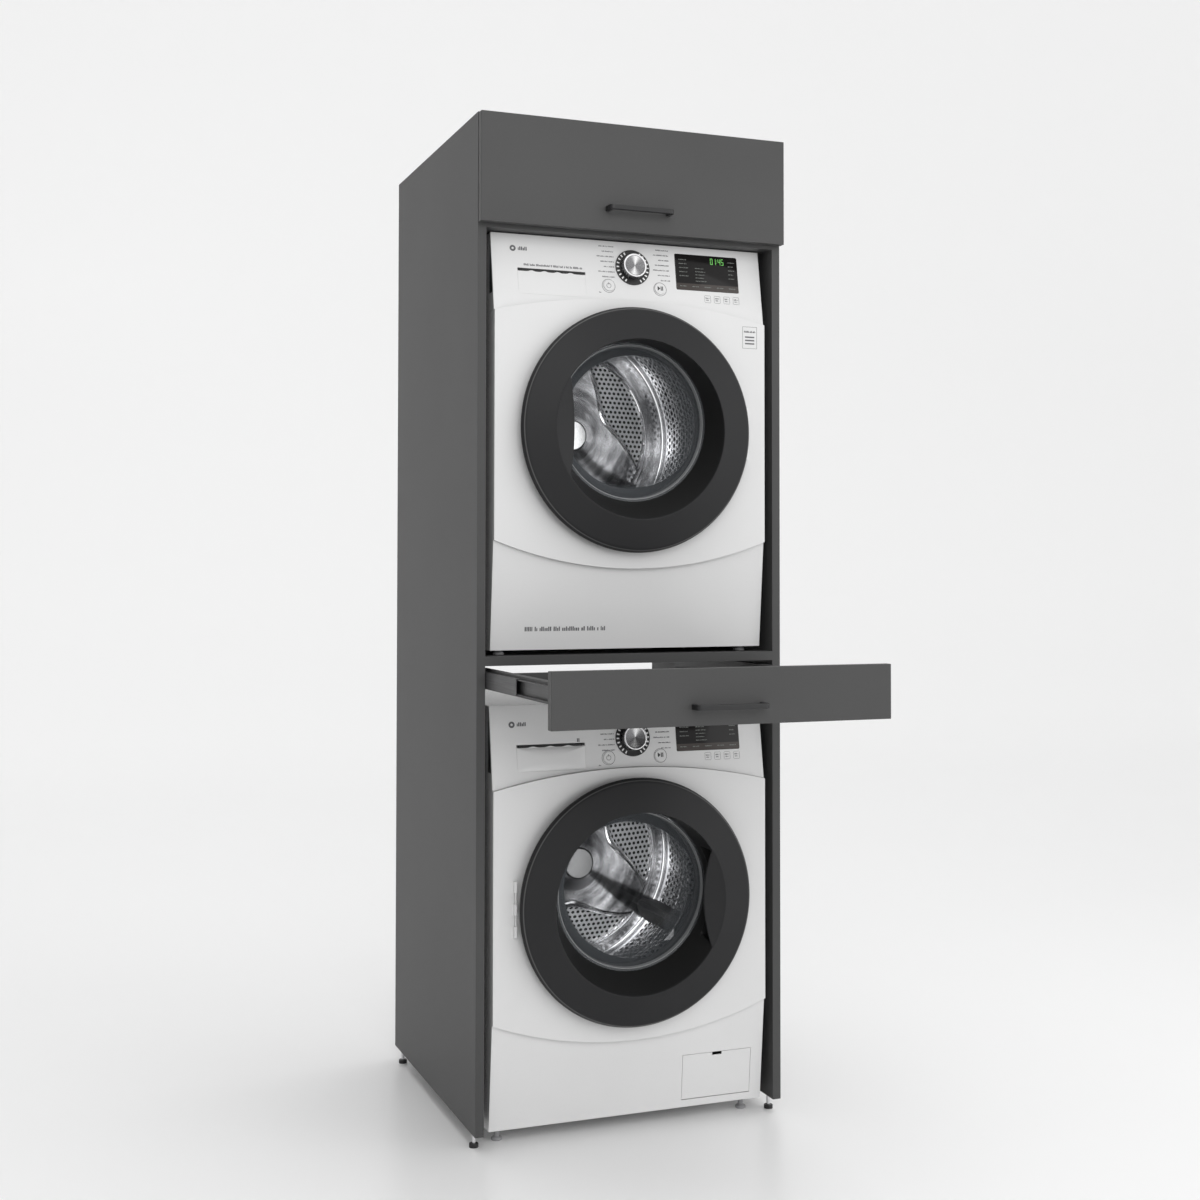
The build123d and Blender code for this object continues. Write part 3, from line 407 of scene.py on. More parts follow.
def grid_faces(rows, columns, wrap_rows=False, wrap_columns=False):
    """Quads of a grid whose point (i, j) is number i * columns + j."""
    i = np.arange(rows if wrap_rows else rows - 1)
    j = np.arange(columns if wrap_columns else columns - 1)
    i, j = [a.ravel() for a in np.meshgrid(i, j, indexing="ij")]
    i2, j2 = (i + 1) % rows, (j + 1) % columns
    return np.stack([i * columns + j, i2 * columns + j, i2 * columns + j2, i * columns + j2], 1)


def tube_faces(rows, n):
    """Quads of a tube of loops with n points each, and a cap at either end. The caps run
    against the loops' edges, so that the whole shell is wound one way."""
    caps = [list(range(n)), list(range(n * (rows - 1), n * rows))[::-1]]
    return grid_faces(rows, n, False, True).tolist() + caps


def join(*pairs):
    """Joins (points, faces) pairs into one."""
    points, faces, count = [], [], 0
    for p, f in pairs:
        points.append(p)
        faces += [[i + count for i in face] for face in f]
        count += len(p)
    return np.concatenate(points), faces


def make_piece(name, points, faces, body, slot, finish, uv=None, smooth=True, replaces=()):
    """Mesh from arrays of points and faces. A closed shell that came out inside out is turned
    by its signed volume, the sum of each triangle's a . (b x c) / 6."""
    points = np.asarray(points, float).reshape(-1, 3)
    loops = [list(map(int, f)) for f in faces]
    tri = np.array([[f[0], f[k], f[k + 1]] for f in loops for k in range(1, len(f) - 1)])
    a, b, c = points[tri[:, 0]], points[tri[:, 1]], points[tri[:, 2]]
    if np.einsum("ij,ij->i", a - points.mean(0), np.cross(b - a, c - a)).sum() < 0:
        loops = [f[::-1] for f in loops]
    mesh = bpy.data.meshes.new(name)
    mesh.from_pydata(points.tolist(), [], loops)
    mesh.polygons.foreach_set("use_smooth", [smooth] * len(loops))
    if uv is not None:
        layer = mesh.uv_layers.new(name="flat")
        corner = np.empty(len(mesh.loops), np.int32)
        mesh.loops.foreach_get("vertex_index", corner)
        layer.data.foreach_set("uv", np.asarray(uv, float)[corner].ravel())
    mesh.materials.append(finish.material)
    piece = bpy.data.objects.new(name, mesh)
    bpy.context.scene.collection.objects.link(piece)
    if smooth:
        mesh.set_sharp_from_angle(angle=SHARP)
    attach(piece, body)
    if replaces:
        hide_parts(*replaces)
    return piece


def turn(radius, depth, angles, closed):
    """Grid of a turned profile. Point (i, j) is at radius i from the axis, at angle j, and at
    depth i along it: (r cos a, r sin a, depth). Returns points, faces and a flat map that
    holds the radius and the angle's share of a turn. radius and depth may also be given per
    angle, as (profile, angle) grids."""
    n = len(angles)
    r = np.broadcast_to(radius[:, None] if radius.ndim == 1 else radius, (len(radius), n))
    d = np.broadcast_to(depth[:, None] if depth.ndim == 1 else depth, (len(depth), n))
    a = np.asarray(angles)[None, :]
    points = np.stack([r * np.cos(a), r * np.sin(a), d + 0 * r], -1).reshape(-1, 3)
    flat = np.stack([r, np.broadcast_to(a / (2 * math.pi), r.shape)], -1).reshape(-1, 2)
    if closed:
        return points, grid_faces(len(radius), n, True, True).tolist(), flat
    return points, tube_faces(len(radius), n), flat


def stand(points, machine=None, x=0.0, z=0.0):
    """Places turned points. With a machine they stand on its fascia at (x, z), depth counted
    outwards; without one they stand on the upright front plane, depth counted backwards."""
    if machine:
        return machine.on_face(x, z, points)
    out = np.empty_like(points)
    out[:, 0] = x + points[:, 0]
    out[:, 1] = FRONT + points[:, 2]
    out[:, 2] = z + points[:, 1]
    return out


FULL = np.linspace(0, 2 * math.pi, 129)[:-1]
print("lathe ready, steps per turn", len(FULL))

# %% [markdown]
# ## Door rings
# Each door is a broad dark ring whose face slopes out towards the window. Inside it a smooth
# hollow runs back to the window's rim, which sits a little above the ring's centre. So the
# ring is a turned profile with one more number per point: how far that point's circle is
# lifted. Behind one side of the hollow is a pocket for the fingers. It is worked in by pushing
# the hollow's wall outwards where a smooth window of the angle and of the depth is 1.

# %% Door ring finish
def window(value, centre, half, soft):
    """1 within half of centre, falling smoothly to 0 over soft."""
    t = np.clip((half + soft - np.abs(value - centre)) / soft, 0, 1)
    return t * t * (3 - 2 * t)


def door_ring_finish():
    """Satin black plastic; the hollow is painted darker than the face as shade, and a thin
    painted highlight runs round the outer rim. The flat map holds (radius, depth)."""
    f = Finish("door_ring_dark", (0.022, 0.022, 0.023), 0.44, Specular_IOR_Level=0.16)
    radius, deep, _ = f.split(f.uv())
    grain = f.noise(1300.0, 2.0)
    cloud = f.noise(5.0, 2.0)
    # painted shade: the hollow behind the face is coloured darker than the face
    inner = f.between(deep, -46.5 * MM, -44.5 * MM)
    inner = inner * f.between(radius, 187 * MM, 188 * MM, 1.0, 0.0)
    face = f.blend(cloud, (0.02, 0.02, 0.021), (0.025, 0.025, 0.026))
    # painted highlight: a thin lighter line round the front part of the outer rim
    edge = f.within(radius, 247.5, 248.5, 250.5, 251.5)
    edge = edge * f.between(deep, -31 * MM, -30 * MM, 1.0, 0.0)
    face = f.blend(edge, face, (0.1, 0.1, 0.1))
    f.feed("Base Color", f.blend(inner, face, (0.014, 0.014, 0.014)))
    f.feed("Roughness", f.between(grain, 0.3, 0.7, 0.36, 0.46))
    f.bump(grain, 0.00004, 0.35)
    return f


RING = door_ring_finish()
print("ring finish ready")


# %% Door ring surface
RUN = 2.0               # mm: longest stretch of the ring's profile between two points
POCKET = 211            # mm: radius to which the finger pocket runs
POCKET_SPREAD = (math.radians(28), math.radians(4))     # half its width, and its soft end
POCKET_DEPTH = (-26, 14.5, 2.5)     # mm: middle, half and soft end of its reach in depth


def door_ring(machine):
    """Profile of (radius, depth, lift) in mm, corners rounded and long runs divided. Point
    (i, j) is at (r cos a, lift + r sin a), with a the angle j. On the hollow's wall the
    radius grows to the pocket's where the pocket's window is 1."""
    lift = (machine.axis - machine.middle) / MM
    corners = [(200, -0.9, lift), (246, -0.9, 0), (254.5, -22, 0), (249, -33, 0), (187, -48, 0),
               (185.3, -48, 0), (166, 9.5, lift), (166, 28, lift), (200, 28, lift)]
    outline = rounded(corners, [0.2, 0.6, 4, 5, 0.8, 0.8, 0.3, 0.8, 1.5], 6)
    step = np.diff(np.vstack([outline, outline[:1]]), axis=0)
    count = np.maximum(1, np.ceil(np.linalg.norm(step, axis=1) / RUN).astype(int))
    share = np.concatenate([np.arange(c) / c for c in count])
    start = np.repeat(outline, count, 0)
    path = start + np.repeat(step, count, 0) * share[:, None]
    r, d, up = path[:, 0][:, None], path[:, 1][:, None], path[:, 2][:, None]
    a = np.linspace(0, 2 * math.pi, 241)[:-1][None, :]
    side = 0.0 if machine.grip > 0 else math.pi
    bearing = np.abs((a - side + math.pi) % (2 * math.pi) - math.pi)
    on_wall = (r < 186) & (d > -47) & (d < 9)
    push = window(bearing, 0.0, *POCKET_SPREAD) * window(d, *POCKET_DEPTH)
    r = r + np.where(on_wall, (POCKET - r) * push, 0.0)
    points = np.stack([r * np.cos(a), d + 0 * r, up + r * np.sin(a)], -1) * MM
    flat = np.stack([r, d + 0 * r], -1).reshape(-1, 2) * MM
    points = points.reshape(-1, 3) + [0, FRONT, machine.middle]
    return make_piece(machine.kind + "_ring", points, grid_faces(len(path), a.size, True, True),
                      machine.kind + "_door", "dark_ring", RING, flat,
                      replaces=[machine.kind + "_door_ring"])


def grip_lip(machine):
    """The lip over the pocket: a 5 mm plate that dips from the ring's face towards the centre.
    Its edge is an arc that comes to 145 mm from the middle. Across t from edge to root, x
    runs from the arc to the root's circle, and depth follows the dip."""
    arc, nearest, root_radius, dip = 406.0, 145, 187.6, 0.2963
    rows, across = 61, 16
    h = np.linspace(-98.5, 98.5, rows)[:, None]
    edge = nearest + arc - np.sqrt(arc**2 - h**2)
    root = np.sqrt(root_radius**2 - h**2)
    nose = np.linspace(0, math.pi, 9)
    t = np.linspace(1, 0, across)
    face = np.stack([t, np.zeros(across)], 1)
    rim = np.stack([np.zeros(len(nose)), (1 - np.cos(nose)) / 2], 1)[1:-1]
    back = np.stack([t[::-1], np.ones(across)], 1)
    loop = np.concatenate([face, rim, back])
    bulge = np.concatenate([np.zeros(across), np.sin(nose)[1:-1] * 2.0, np.zeros(across)])
    x = edge + (root - edge) * loop[:, 0] - bulge
    reach = np.hypot(x, h)
    depth = -48.2 + (root_radius - reach) * dip + loop[:, 1] * 4.6
    points = np.stack([machine.grip * x, depth, h + 0 * x], -1).reshape(-1, 3) * MM
    flat = np.stack([np.full(x.size, 0.2), depth.ravel() * MM], 1)
    return make_piece(machine.kind + "_grip_lip", points + [0, FRONT, machine.middle],
                      tube_faces(rows, len(loop)), machine.kind + "_door", "dark_ring", RING, flat)


for m in (WASHER, DRYER):
    ring = door_ring(m)
    lip = grip_lip(m)
    print(ring.name, len(ring.data.polygons), "faces,", lip.name, len(lip.data.polygons))

# %% [markdown]
# ## Door glass
# The glass is a deep moulded bowl with a wall of about 5 mm, clear with a grey tint. Bent
# light through two curved walls would cost many bounces for little, and lamps would not reach
# the drum behind it. So the finish mixes a tinted see-through part with a glossy one, and the
# share of gloss grows at grazing angles as Fresnel's law says.

# %% Glass bowl
def glass_finish():
    f = Finish("glass_tinted", (0.11, 0.117, 0.125), 0.03, Specular_IOR_Level=0.6)
    haze = f.noise(30.0, 2.0)
    f.feed("Roughness", f.between(haze, 0.3, 0.8, 0.02, 0.06))
    edge = f.add("Fresnel", None, {"IOR": 1.42})
    radius, _, _ = f.split(f.uv())
    # painted highlight: a thin lighter ring on the front wall near the rim, also less see-through
    line = f.within(radius, 157.5, 158.5, 161, 162)
    f.feed("Base Color", f.blend(line, (0.11, 0.117, 0.125), (0.24, 0.245, 0.25)))
    wall = f.between(radius, 126 * MM, 140 * MM) * 0.55
    share = f.math("MAXIMUM", edge + 0.02, wall + line * 0.4)
    f.see_through(share, (0.95, 0.955, 0.96))
    return f


def bowl_curve(rim, floor, front, back, count=40):
    """Half section from rim to middle: a steep wall that rounds into a nearly flat floor.
    Depth goes from front to back as (1 - s^2.4)^0.8 of the radius share s outside the floor."""
    radius = rim * np.linspace(1, 0, count)
    s = np.clip((radius - floor) / (rim - floor), 0, 1)
    return radius, front + (back - front) * (1 - s**2.4) ** 0.8


def door_glass(machine):
    """Open profile that starts on the axis: front wall outwards, flange, rear wall back in."""
    r1, d1 = bowl_curve(160, 96, 10.2, 79)
    r2, d2 = bowl_curve(164, 100, 28, 84)
    radius = np.concatenate([[POLE], r1[::-1][1:], [173.5, 173.5, 164.5], r2[:-1], [POLE]])
    depth = np.concatenate([[79], d1[::-1][1:], [10.2, 23.5, 23.8], d2[:-1], [84]])
    points, faces, flat = turn(radius * MM, depth * MM, FULL, False)
    points = stand(points, z=machine.axis)
    return make_piece(machine.kind + "_glass", points, faces, machine.kind + "_door",
                      "smoked_glass", GLASS, flat, replaces=[machine.kind + "_door_glass"])


GLASS = glass_finish()
for m in (WASHER, DRYER):
    print(door_glass(m).name)

# %% [markdown]
# ## Drums
# A drum is polished stainless sheet. Its back bows forward to a round hub and carries three
# leaf-shaped fields of holes, with smooth raised arms between them. The relief is real: depth
# is a function of radius and angle. The thousands of small holes are drawn in the finish,
# where a repeated cell gives the distance to the nearest hole.

# %% Drum finish
LEAF = (27.0, 46.0)     # degrees: middle of the first leaf, half its spread
CELL = 12.4             # mm: spacing of the holes in a leaf
ROW = 62                # mm: spacing round the side wall of the rows of wider spaced holes


def leaf_field(f, reach, angle):
    """Inside a leaf: t is the angle from its middle over half its spread, and the radius lies
    between 100 + 90 t^2 and 205 - 8 t^2 mm."""
    turn_share = f.math("WRAP", angle - math.radians(LEAF[0]), math.pi / 3, -math.pi / 3)
    t = turn_share * (1.0 / math.radians(LEAF[1]))
    low = t * t * (90 * MM) + 100 * MM
    high = 205 * MM - t * t * (8 * MM)
    return f.between(reach - low, 2 * MM, 3 * MM) * f.between(high - reach, 2 * MM, 3 * MM)


def hole_cells(f, u, v, radius, soft=0.08):
    """Round spots in staggered square cells of side 1; radius is a share of the cell."""
    odd = f.math("MODULO", f.math("FLOOR", v), 2.0) * 0.5
    du = f.math("FRACT", u + odd) - 0.5
    dv = f.math("FRACT", v) - 0.5
    away = f.math("SQRT", du * du + dv * dv)
    return f.between(away, radius, radius + soft, 1.0, 0.0)


def drum_finish(machine, radius, back):
    """Polished steel: leaf fields of holes about 8 mm wide on the back, and on the side wall
    rows of holes with a row of wider spaced ones every 62 mm round. The gleam of the bowed
    back is partly in its colour: soft fans that follow the angle."""
    f = Finish(machine.kind + "_drum_steel", (0.7, 0.7, 0.71), 0.16, Metallic=1.0)
    x, y, z = f.split(f.place())
    up = z - machine.axis
    angle = f.math("ARCTAN2", up, x)
    reach = f.math("SQRT", x * x + up * up)
    deep = y - FRONT
    cell = CELL * MM
    on_back = f.between(reach, radius - 12 * MM, radius - 10 * MM, 1.0, 0.0)
    field = leaf_field(f, reach, angle) * on_back
    leaf_holes = hole_cells(f, x / cell + 100.0, up / (cell * 0.9) + 100.0, 0.3, 0.04) * field
    round_rows = angle * (radius / (ROW * MM)) + 50.0
    big_row = f.math("ABSOLUTE", f.math("FRACT", round_rows) - 0.5)
    big = hole_cells(f, round_rows * 4.0 + 0.5, deep / (17 * MM), 0.26)
    big = big * f.between(big_row, 0.12, 0.13, 1.0, 0.0)
    small = hole_cells(f, round_rows * 4.0, deep / (14 * MM), 0.27)
    small = small * f.between(big_row, 0.16, 0.18)
    ends = f.between(deep, 108 * MM, 110 * MM)
    ends = ends * f.between(deep, back - 26 * MM, back - 22 * MM, 1.0, 0.0)
    wall_holes = f.math("MAXIMUM", big, small) * (1 - on_back) * ends
    holes = f.math("MAXIMUM", leaf_holes, wall_holes)
    dimple = hole_cells(f, round_rows * 4.0, deep / (14 * MM), 0.05, 0.4)
    dimple = dimple * (1 - on_back) * ends
    smear = f.noise(14.0, 3.0)
    swirl = f.add("CombineXYZ", None, {0: x * 9.0, 1: up * 9.0, 2: reach * 26.0})
    fan = f.noise(1.0, 3.0, swirl)
    gleam = f.blend(f.between(fan, 0.4, 0.62), (0.16, 0.16, 0.165), (0.86, 0.86, 0.87))
    gleam = f.blend(field, gleam, (0.8, 0.8, 0.81))
    on_wall = (1 - on_back) * 0.7
    gleam = f.blend(on_wall, gleam, (0.7, 0.7, 0.71))
    hub = f.within(reach, 33.5, 34, 36, 36.5)
    middle = f.between(reach, 34 * MM, 34.5 * MM, 1.0, 0.0) * on_back
    tone = 0.14 if machine is WASHER else 0.6
    gleam = f.blend(middle, gleam, (tone, tone, tone))
    gleam = f.blend(hub * on_back, gleam, (0.03, 0.03, 0.03))
    f.feed("Base Color", f.blend(holes, gleam, (0.012, 0.012, 0.012)))
    f.feed("Metallic", (1 - holes) * (1 - field * 0.35))
    f.feed("Roughness", f.between(smear, 0.3, 0.7, 0.13, 0.24) + holes * 0.4 + field * 0.2)
    f.bump(smear * 0.3 - dimple * 0.7, 0.003, 0.6)
    return f


# %% Drum surface
DOME, HUB, RIM = 60, 36, 212        # mm: rise of the bowed back, radius of hub and of rim
SHEET = 1.8                         # mm: steel under the back's inner face


def drum_relief(r, a, back):
    """Depth of the drum's back at radius r and angle a, in mm: the dome rises 60 mm towards
    the hub; the leaves lie 9 mm lower than the arms, with soft edges; a bead runs round the
    rim and the hub stands 5 mm proud."""
    dome = DOME * np.clip((RIM - r) / (RIM - HUB), 0, 1) ** 0.9
    third = 2 * math.pi / 3
    off = (a - math.radians(LEAF[0]) + third / 2) % third - third / 2
    t = off / math.radians(LEAF[1])
    low, high = 100 + 90 * t * t, 205 - 8 * t * t
    inside = np.clip((r - low + 2) / 12, 0, 1) * np.clip((high + 2 - r) / 7, 0, 1)
    inside = inside * inside * (3 - 2 * inside)
    arms = 9 * (1 - inside) * np.clip((214 - r) / 10, 0, 1)
    ridge = 3.0 * np.exp(-(((r - low + 7) / 3.0) ** 2)) * (np.abs(t) < 1.1)
    bead = 3.5 * np.exp(-(((r - RIM) / 3.5) ** 2))
    hub = 5 * np.clip((HUB - r) / 1.5, 0, 1)
    return back - SHEET - dome - arms - ridge - bead - hub


def drum(machine, node, radius, mouth, front, back, finish):
    """Grid from the hub out over the relief, along the side wall with a soft press line every
    60 mm, round the mouth's lip, and back along the outside to the shaft's end."""
    a = np.linspace(0, 2 * math.pi, 289)[:-1][None, :]
    r_in = np.concatenate([np.linspace(POLE, HUB, 10), np.linspace(HUB + 0.8, RIM + 4, 90),
                           np.linspace(RIM + 6, radius - 9, 8)])[:, None] + 0 * a
    d_in = drum_relief(r_in, a, back)
    bend = np.linspace(0, math.pi / 2, 7)[1:][:, None]
    r_bend = radius - 9.6 + 8 * np.sin(bend) + 0 * a
    d_bend = back - SHEET - 8 * (1 - np.cos(bend)) + 0 * a
    d_wall = np.linspace(back - 10, front + 8, 60)[:, None] + 0 * a
    press = 1.6 * np.exp(-(((d_wall - front) % 60 - 30) / 5.0) ** 2)
    r_wall = radius - 1.6 - press
    rest = np.array([(radius - 4, front + 1.7), (mouth + 6, front + 1.7), (mouth + 0.4, front + 4),
                     (mouth + 0.4, front + 0.2), (mouth + 6, front), (radius - 3, front),
                     (radius, front + 3), (radius, back), (RIM, back), (HUB, back - DOME),
                     (POLE, back - DOME)])[:, :, None] + 0 * a
    r = np.concatenate([r_in, r_bend, r_wall, rest[:, 0]])
    d = np.concatenate([d_in, d_bend, d_wall, rest[:, 1]])
    points, faces, flat = turn(r * MM, d * MM, a[0], False)
    points = stand(points, z=machine.axis)
    return make_piece(machine.kind + "_drum_shell", points, faces, machine.kind + "_drum_set",
                      "stainless", finish, flat, replaces=[node])


for m, back, mouth in ((WASHER, 402.0, 167.0), (DRYER, 450.0, 207.0)):
    node = m.kind + "_drum"
    low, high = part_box(node)
    front, radius = low.y - FRONT, high.x
    steel = drum_finish(m, radius, back * MM)
    shell = drum(m, node, radius / MM, mouth, front / MM, back, steel)
    print(shell.name, len(shell.data.polygons), "faces, radius", round(radius, 4))

# %% [markdown]
# ## Program knobs
# A knob is a metal cap with straight, slightly tapering sides and a dished top with a thin
# bright rim, turning in a black bezel with white ticks. The cap is one turned profile. On
# turned metal a lamp shows as bright wedges from the centre, and the finish paints them by
# angle.

# %% Knobs and bezels
def spun_metal():
    """Turned metal. Its grooves run round the axis, so a lamp shows as a wedge from the centre:
    the wedges are drawn as a smooth double wave of the angle, brightest at top and bottom."""
    f = Finish("knob_spun_metal", (0.5, 0.5, 0.51), 0.26, Metallic=1.0)
    radius, share, _ = f.split(f.uv())
    wave = f.math("COSINE", (share - 0.22) * (4 * math.pi)) * 0.5 + 0.5
    wedge = f.math("POWER", wave, 5.0)
    dish = f.between(radius, 20.8 * MM, 21.2 * MM, 1.0, 0.0)
    rim = f.within(radius, 21.6, 22.0, 24.9, 25.4)
    groove = f.add("CombineXYZ", None, {0: radius * 2000.0, 1: share * 40.0})
    fan = f.noise(1.0, 2.0, groove)
    top = f.blend(wedge * dish, (0.2, 0.2, 0.205), (0.8, 0.8, 0.8))
    side = f.blend(f.between(radius, 25.4 * MM, 25.7 * MM), top, (0.3, 0.3, 0.305))
    f.feed("Base Color", f.blend(rim, side, (0.85, 0.85, 0.86)))
    f.feed("Roughness", f.between(fan, 0.3, 0.7, 0.22, 0.36))
    f.bump(fan, 0.00004, 0.4)
    return f


def bezel_finish():
    """Black disc with white ticks on its left and right arcs: a tick is a narrow span of the
    angle inside a radius band, and the arcs are where the cosine of the angle is large."""
    f = Finish("bezel_black", (0.012, 0.012, 0.012), 0.3)
    radius, share, _ = f.split(f.uv())
    cell = f.math("FRACT", share * 24.0 + 0.5) - 0.5
    near = f.between(f.math("ABSOLUTE", cell), 0.15, 0.18, 1.0, 0.0)
    ring = f.within(radius, 30.2, 30.5, 36.0, 36.3)
    arcs = f.between(f.math("ABSOLUTE", f.math("COSINE", share * (2 * math.pi))), 0.45, 0.47)
    tick = near * ring * arcs
    f.feed("Base Color", f.blend(tick, (0.012, 0.012, 0.012), (0.85, 0.85, 0.85)))
    f.feed("Roughness", 0.3 + tick * 0.2)
    return f


SPUN = spun_metal()
BEZEL = bezel_finish()
KNOB_X = 6 * MM         # the knobs stand a little right of the middle


def knob_and_bezel(machine):
    """Cap profile: underside, tapering side, bright rim, shallow dish to the middle. Makes
    the cap and returns the bezel, because both bezels stand for one CAD node."""
    cap = rounded([(POLE, 2.4), (26.4, 2.4), (25.6, 17.4), (22.6, 17.4), (21.4, 16.2),
                   (POLE, 14.6)], [0, 0.6, 1.0, 0.5, 0.6, 0])
    points, faces, flat = turn(cap[:, 0] * MM, cap[:, 1] * MM, FULL, False)
    points = stand(points, machine, KNOB_X, machine.knob_z)
    make_piece(machine.kind + "_knob_cap", points, faces, machine.kind + "_knob", "chrome", SPUN,
               flat, replaces=[machine.kind + "_program_knob"])
    disc = rounded([(6.0, -1.5), (38.3, -1.5), (38.3, 2.0), (37.0, 2.0), (28.5, 1.6), (6.0, 1.6)],
                   [0, 0.1, 0.8, 0.3, 0.3, 0])
    points, faces, flat = turn(disc[:, 0] * MM, disc[:, 1] * MM, FULL, True)
    points = stand(points, machine, KNOB_X, machine.knob_z)
    return points, faces, flat


bezels = [knob_and_bezel(m) for m in (WASHER, DRYER)]
make_piece("bezels", *join(*[(p, f) for p, f, _ in bezels]), "cabinet", "black_plastic", BEZEL,
           np.concatenate([flat for _, _, flat in bezels]), replaces=["knob_bezels"])
print("knobs and bezels made")

# %% [markdown]
# ## Printed marks, digits and windows
# Beside each knob stand short rows of program names, and below the window a row of touch
# marks. Real lettering would belong to a maker, so each row is a run of short strokes of the
# same length and weight. Every mark is a thin raised slab on the leaning face, and one function
# turns a list of rectangles into one mesh.

# %% Slab marks
INK_HIGH = 0.12         # mm: how far a printed mark stands off its face
BOX = np.array([[3, 2, 1, 0], [4, 5, 6, 7],
                [0, 1, 5, 4], [1, 2, 6, 5], [2, 3, 7, 6], [3, 0, 4, 7]])


def corners(rects):
    """Corner points of rectangles (x0, x1, z0, z1): an array of x and an array of z, with a
    row for each rectangle."""
    r = np.asarray(rects, float)[:, None]
    right, up = np.array([0, 1, 1, 0]), np.array([0, 0, 1, 1])
    return r[..., 0] + (r[..., 1] - r[..., 0]) * right, r[..., 2] + (r[..., 3] - r[..., 2]) * up


def boxes(layers):
    """Points and faces of closed boxes, from their lower and their upper corners."""
    count = len(layers[0])
    faces = (BOX[None] + 8 * np.arange(count)[:, None, None]).reshape(-1, 4)
    return np.concatenate(layers, 1).reshape(-1, 3), faces.tolist()


def slabs(rects, machine, low=0.0, high=INK_HIGH):
    """Closed boxes on the fascia, z counted up the slope from the machine's top."""
    x, v = corners(rects)
    local, faces = boxes([np.stack([x, v, np.full_like(x, w)], -1) for w in (low, high)])
    return machine.on_face(0.0, machine.top, local * MM), faces


def ring_marks(machine, spots, width, low=0.0, high=INK_HIGH):
    """Flat rings: each spot is (x, drop from top, radius), all in mm."""
    rings = []
    a = np.linspace(0, 2 * math.pi, 49)[:-1]
    for x, drop, radius in spots:
        profile = np.array([(radius - width, low), (radius, low),
                            (radius, high), (radius - width, high)])
        points, faces, _ = turn(profile[:, 0] * MM, profile[:, 1] * MM, a, True)
        points = points + [0, -drop * MM / math.cos(machine.lean), 0]
        rings.append((machine.on_face(x * MM, machine.top, points), faces))
    return join(*rings)


INK = moulded_finish("print_grey", (0.12, 0.12, 0.125), 0.5)
BOLD = moulded_finish("print_dark", (0.02, 0.02, 0.021), 0.5)
# near-black plate over each grip slot: painted shade of the finger recess
SLOT_SHADE = moulded_finish("slot_painted_shade", (0.008, 0.008, 0.008), 0.55)
print("mark helpers ready")

# %% Marks on both fascias
def words(x0, x1, drop, tall, seed):
    """A row of generic strokes that stands for small print: strokes about as wide as letters,
    with gaps between them and a wider gap after every few."""
    rng = np.random.default_rng(seed)
    x, rects, run = x0, [], 0
    while x < x1 - tall * 0.4:
        wide = tall * (0.35 + 0.3 * rng.random())
        half = rng.random() < 0.4
        low = -drop - tall
        rects.append((x, min(x + wide * 0.6, x1), low, low + tall * (0.7 if half else 1.0)))
        run += 1
        gap = tall * (0.55 if run % (5 + int(rng.integers(0, 3))) == 0 else 0.12)
        x += wide * 0.6 + gap
    return rects


POWER_X, START_X = -50, 66          # mm: middles of the two push buttons
ROW_STEP = 11.1                     # mm: between two program names
ROW_LENGTHS = ((34, 30), (27, 36), (39, 25), (31, 33), (24, 38), (37, 28), (29, 22))
TOUCH_STEP, TOUCH_WIDE = 22.2, 14.5     # mm: spacing and width of the touch marks


def program_rows(first_drop):
    """Seven short rows on each side of the knob, of uneven lengths."""
    rects = []
    for i, (left, right) in enumerate(ROW_LENGTHS):
        drop = first_drop + i * ROW_STEP
        rects += words(-34 - left, -34, drop, 2.6, 10 + i)
        rects += words(91 - right, 91, drop, 2.6, 30 + i)
    return rects


def touch_marks(drop, right=249.0):
    """Four outlines with open corners and small strokes inside, in a row under the window's
    right part."""
    rects = []
    for i in range(4):
        x = right - TOUCH_WIDE - (3 - i) * TOUCH_STEP
        far = x + TOUCH_WIDE
        rects += [(x + 1, far - 1, -drop - 16.0, -drop - 15.4),
                  (x + 1, far - 1, -drop - 0.6, -drop),
                  (x, x + 0.6, -drop - 15, -drop - 1),
                  (far - 0.6, far, -drop - 15, -drop - 1)]
        rects += words(x + 2.5, x + 12, drop + 4, 3.0, 50 + i)
        rects += words(x + 3.5, x + 11, drop + 9, 2.4, 60 + i)
    return rects


def front_at(node, x, z):
    """Depth of a CAD node's front at (x, z), found by looking straight back at it from well
    in front."""
    eye, back = Vector((x * MM, -3.0, z)), Vector((0, 1, 0))
    hit, place, _, _ = nodes[node].ray_cast(eye, back)
    return place.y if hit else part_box(node)[0].y


def proud(machine, node, x, drop):
    """How far a node stands out of the leaning face at (x, drop), in mm."""
    z = machine.top - drop * MM
    return (machine.face_y(z) - front_at(node, x, z)) * math.cos(machine.lean) / MM


def button_signs(machine, drop):
    """Power: a stroke in a ring. Start: a pointer and two strokes. Each rides its button."""
    high = proud(machine, machine.kind + "_power_button", POWER_X, drop)
    sunk, top = high - 0.05, high + 0.1
    stroke = slabs([(POWER_X - 0.6, POWER_X + 0.6, -drop + 1, -drop + 6.0)], machine, sunk, top)
    ring = ring_marks(machine, [(POWER_X, drop, 5.2)], 0.9, sunk, top)
    make_piece(machine.kind + "_power_sign", *join(stroke, ring), machine.kind + "_power",
               "grey_plastic", INK, smooth=False)
    high = proud(machine, machine.kind + "_start_button", START_X, drop)
    sunk, top = high - 0.05, high + 0.1
    half = 4.6
    rects = [(START_X + k, START_X + k + 2, -drop - half, -drop + half) for k in (1.0, 4.2)]
    for k in range(5):
        left, cut = START_X - 6 + 1.1 * k, half - 0.9 * k
        rects.append((left, left + 1.15, -drop - cut, -drop + cut))
    make_piece(machine.kind + "_start_sign", *slabs(rects, machine, sunk, top),
               machine.kind + "_start", "grey_plastic", BOLD, smooth=False)


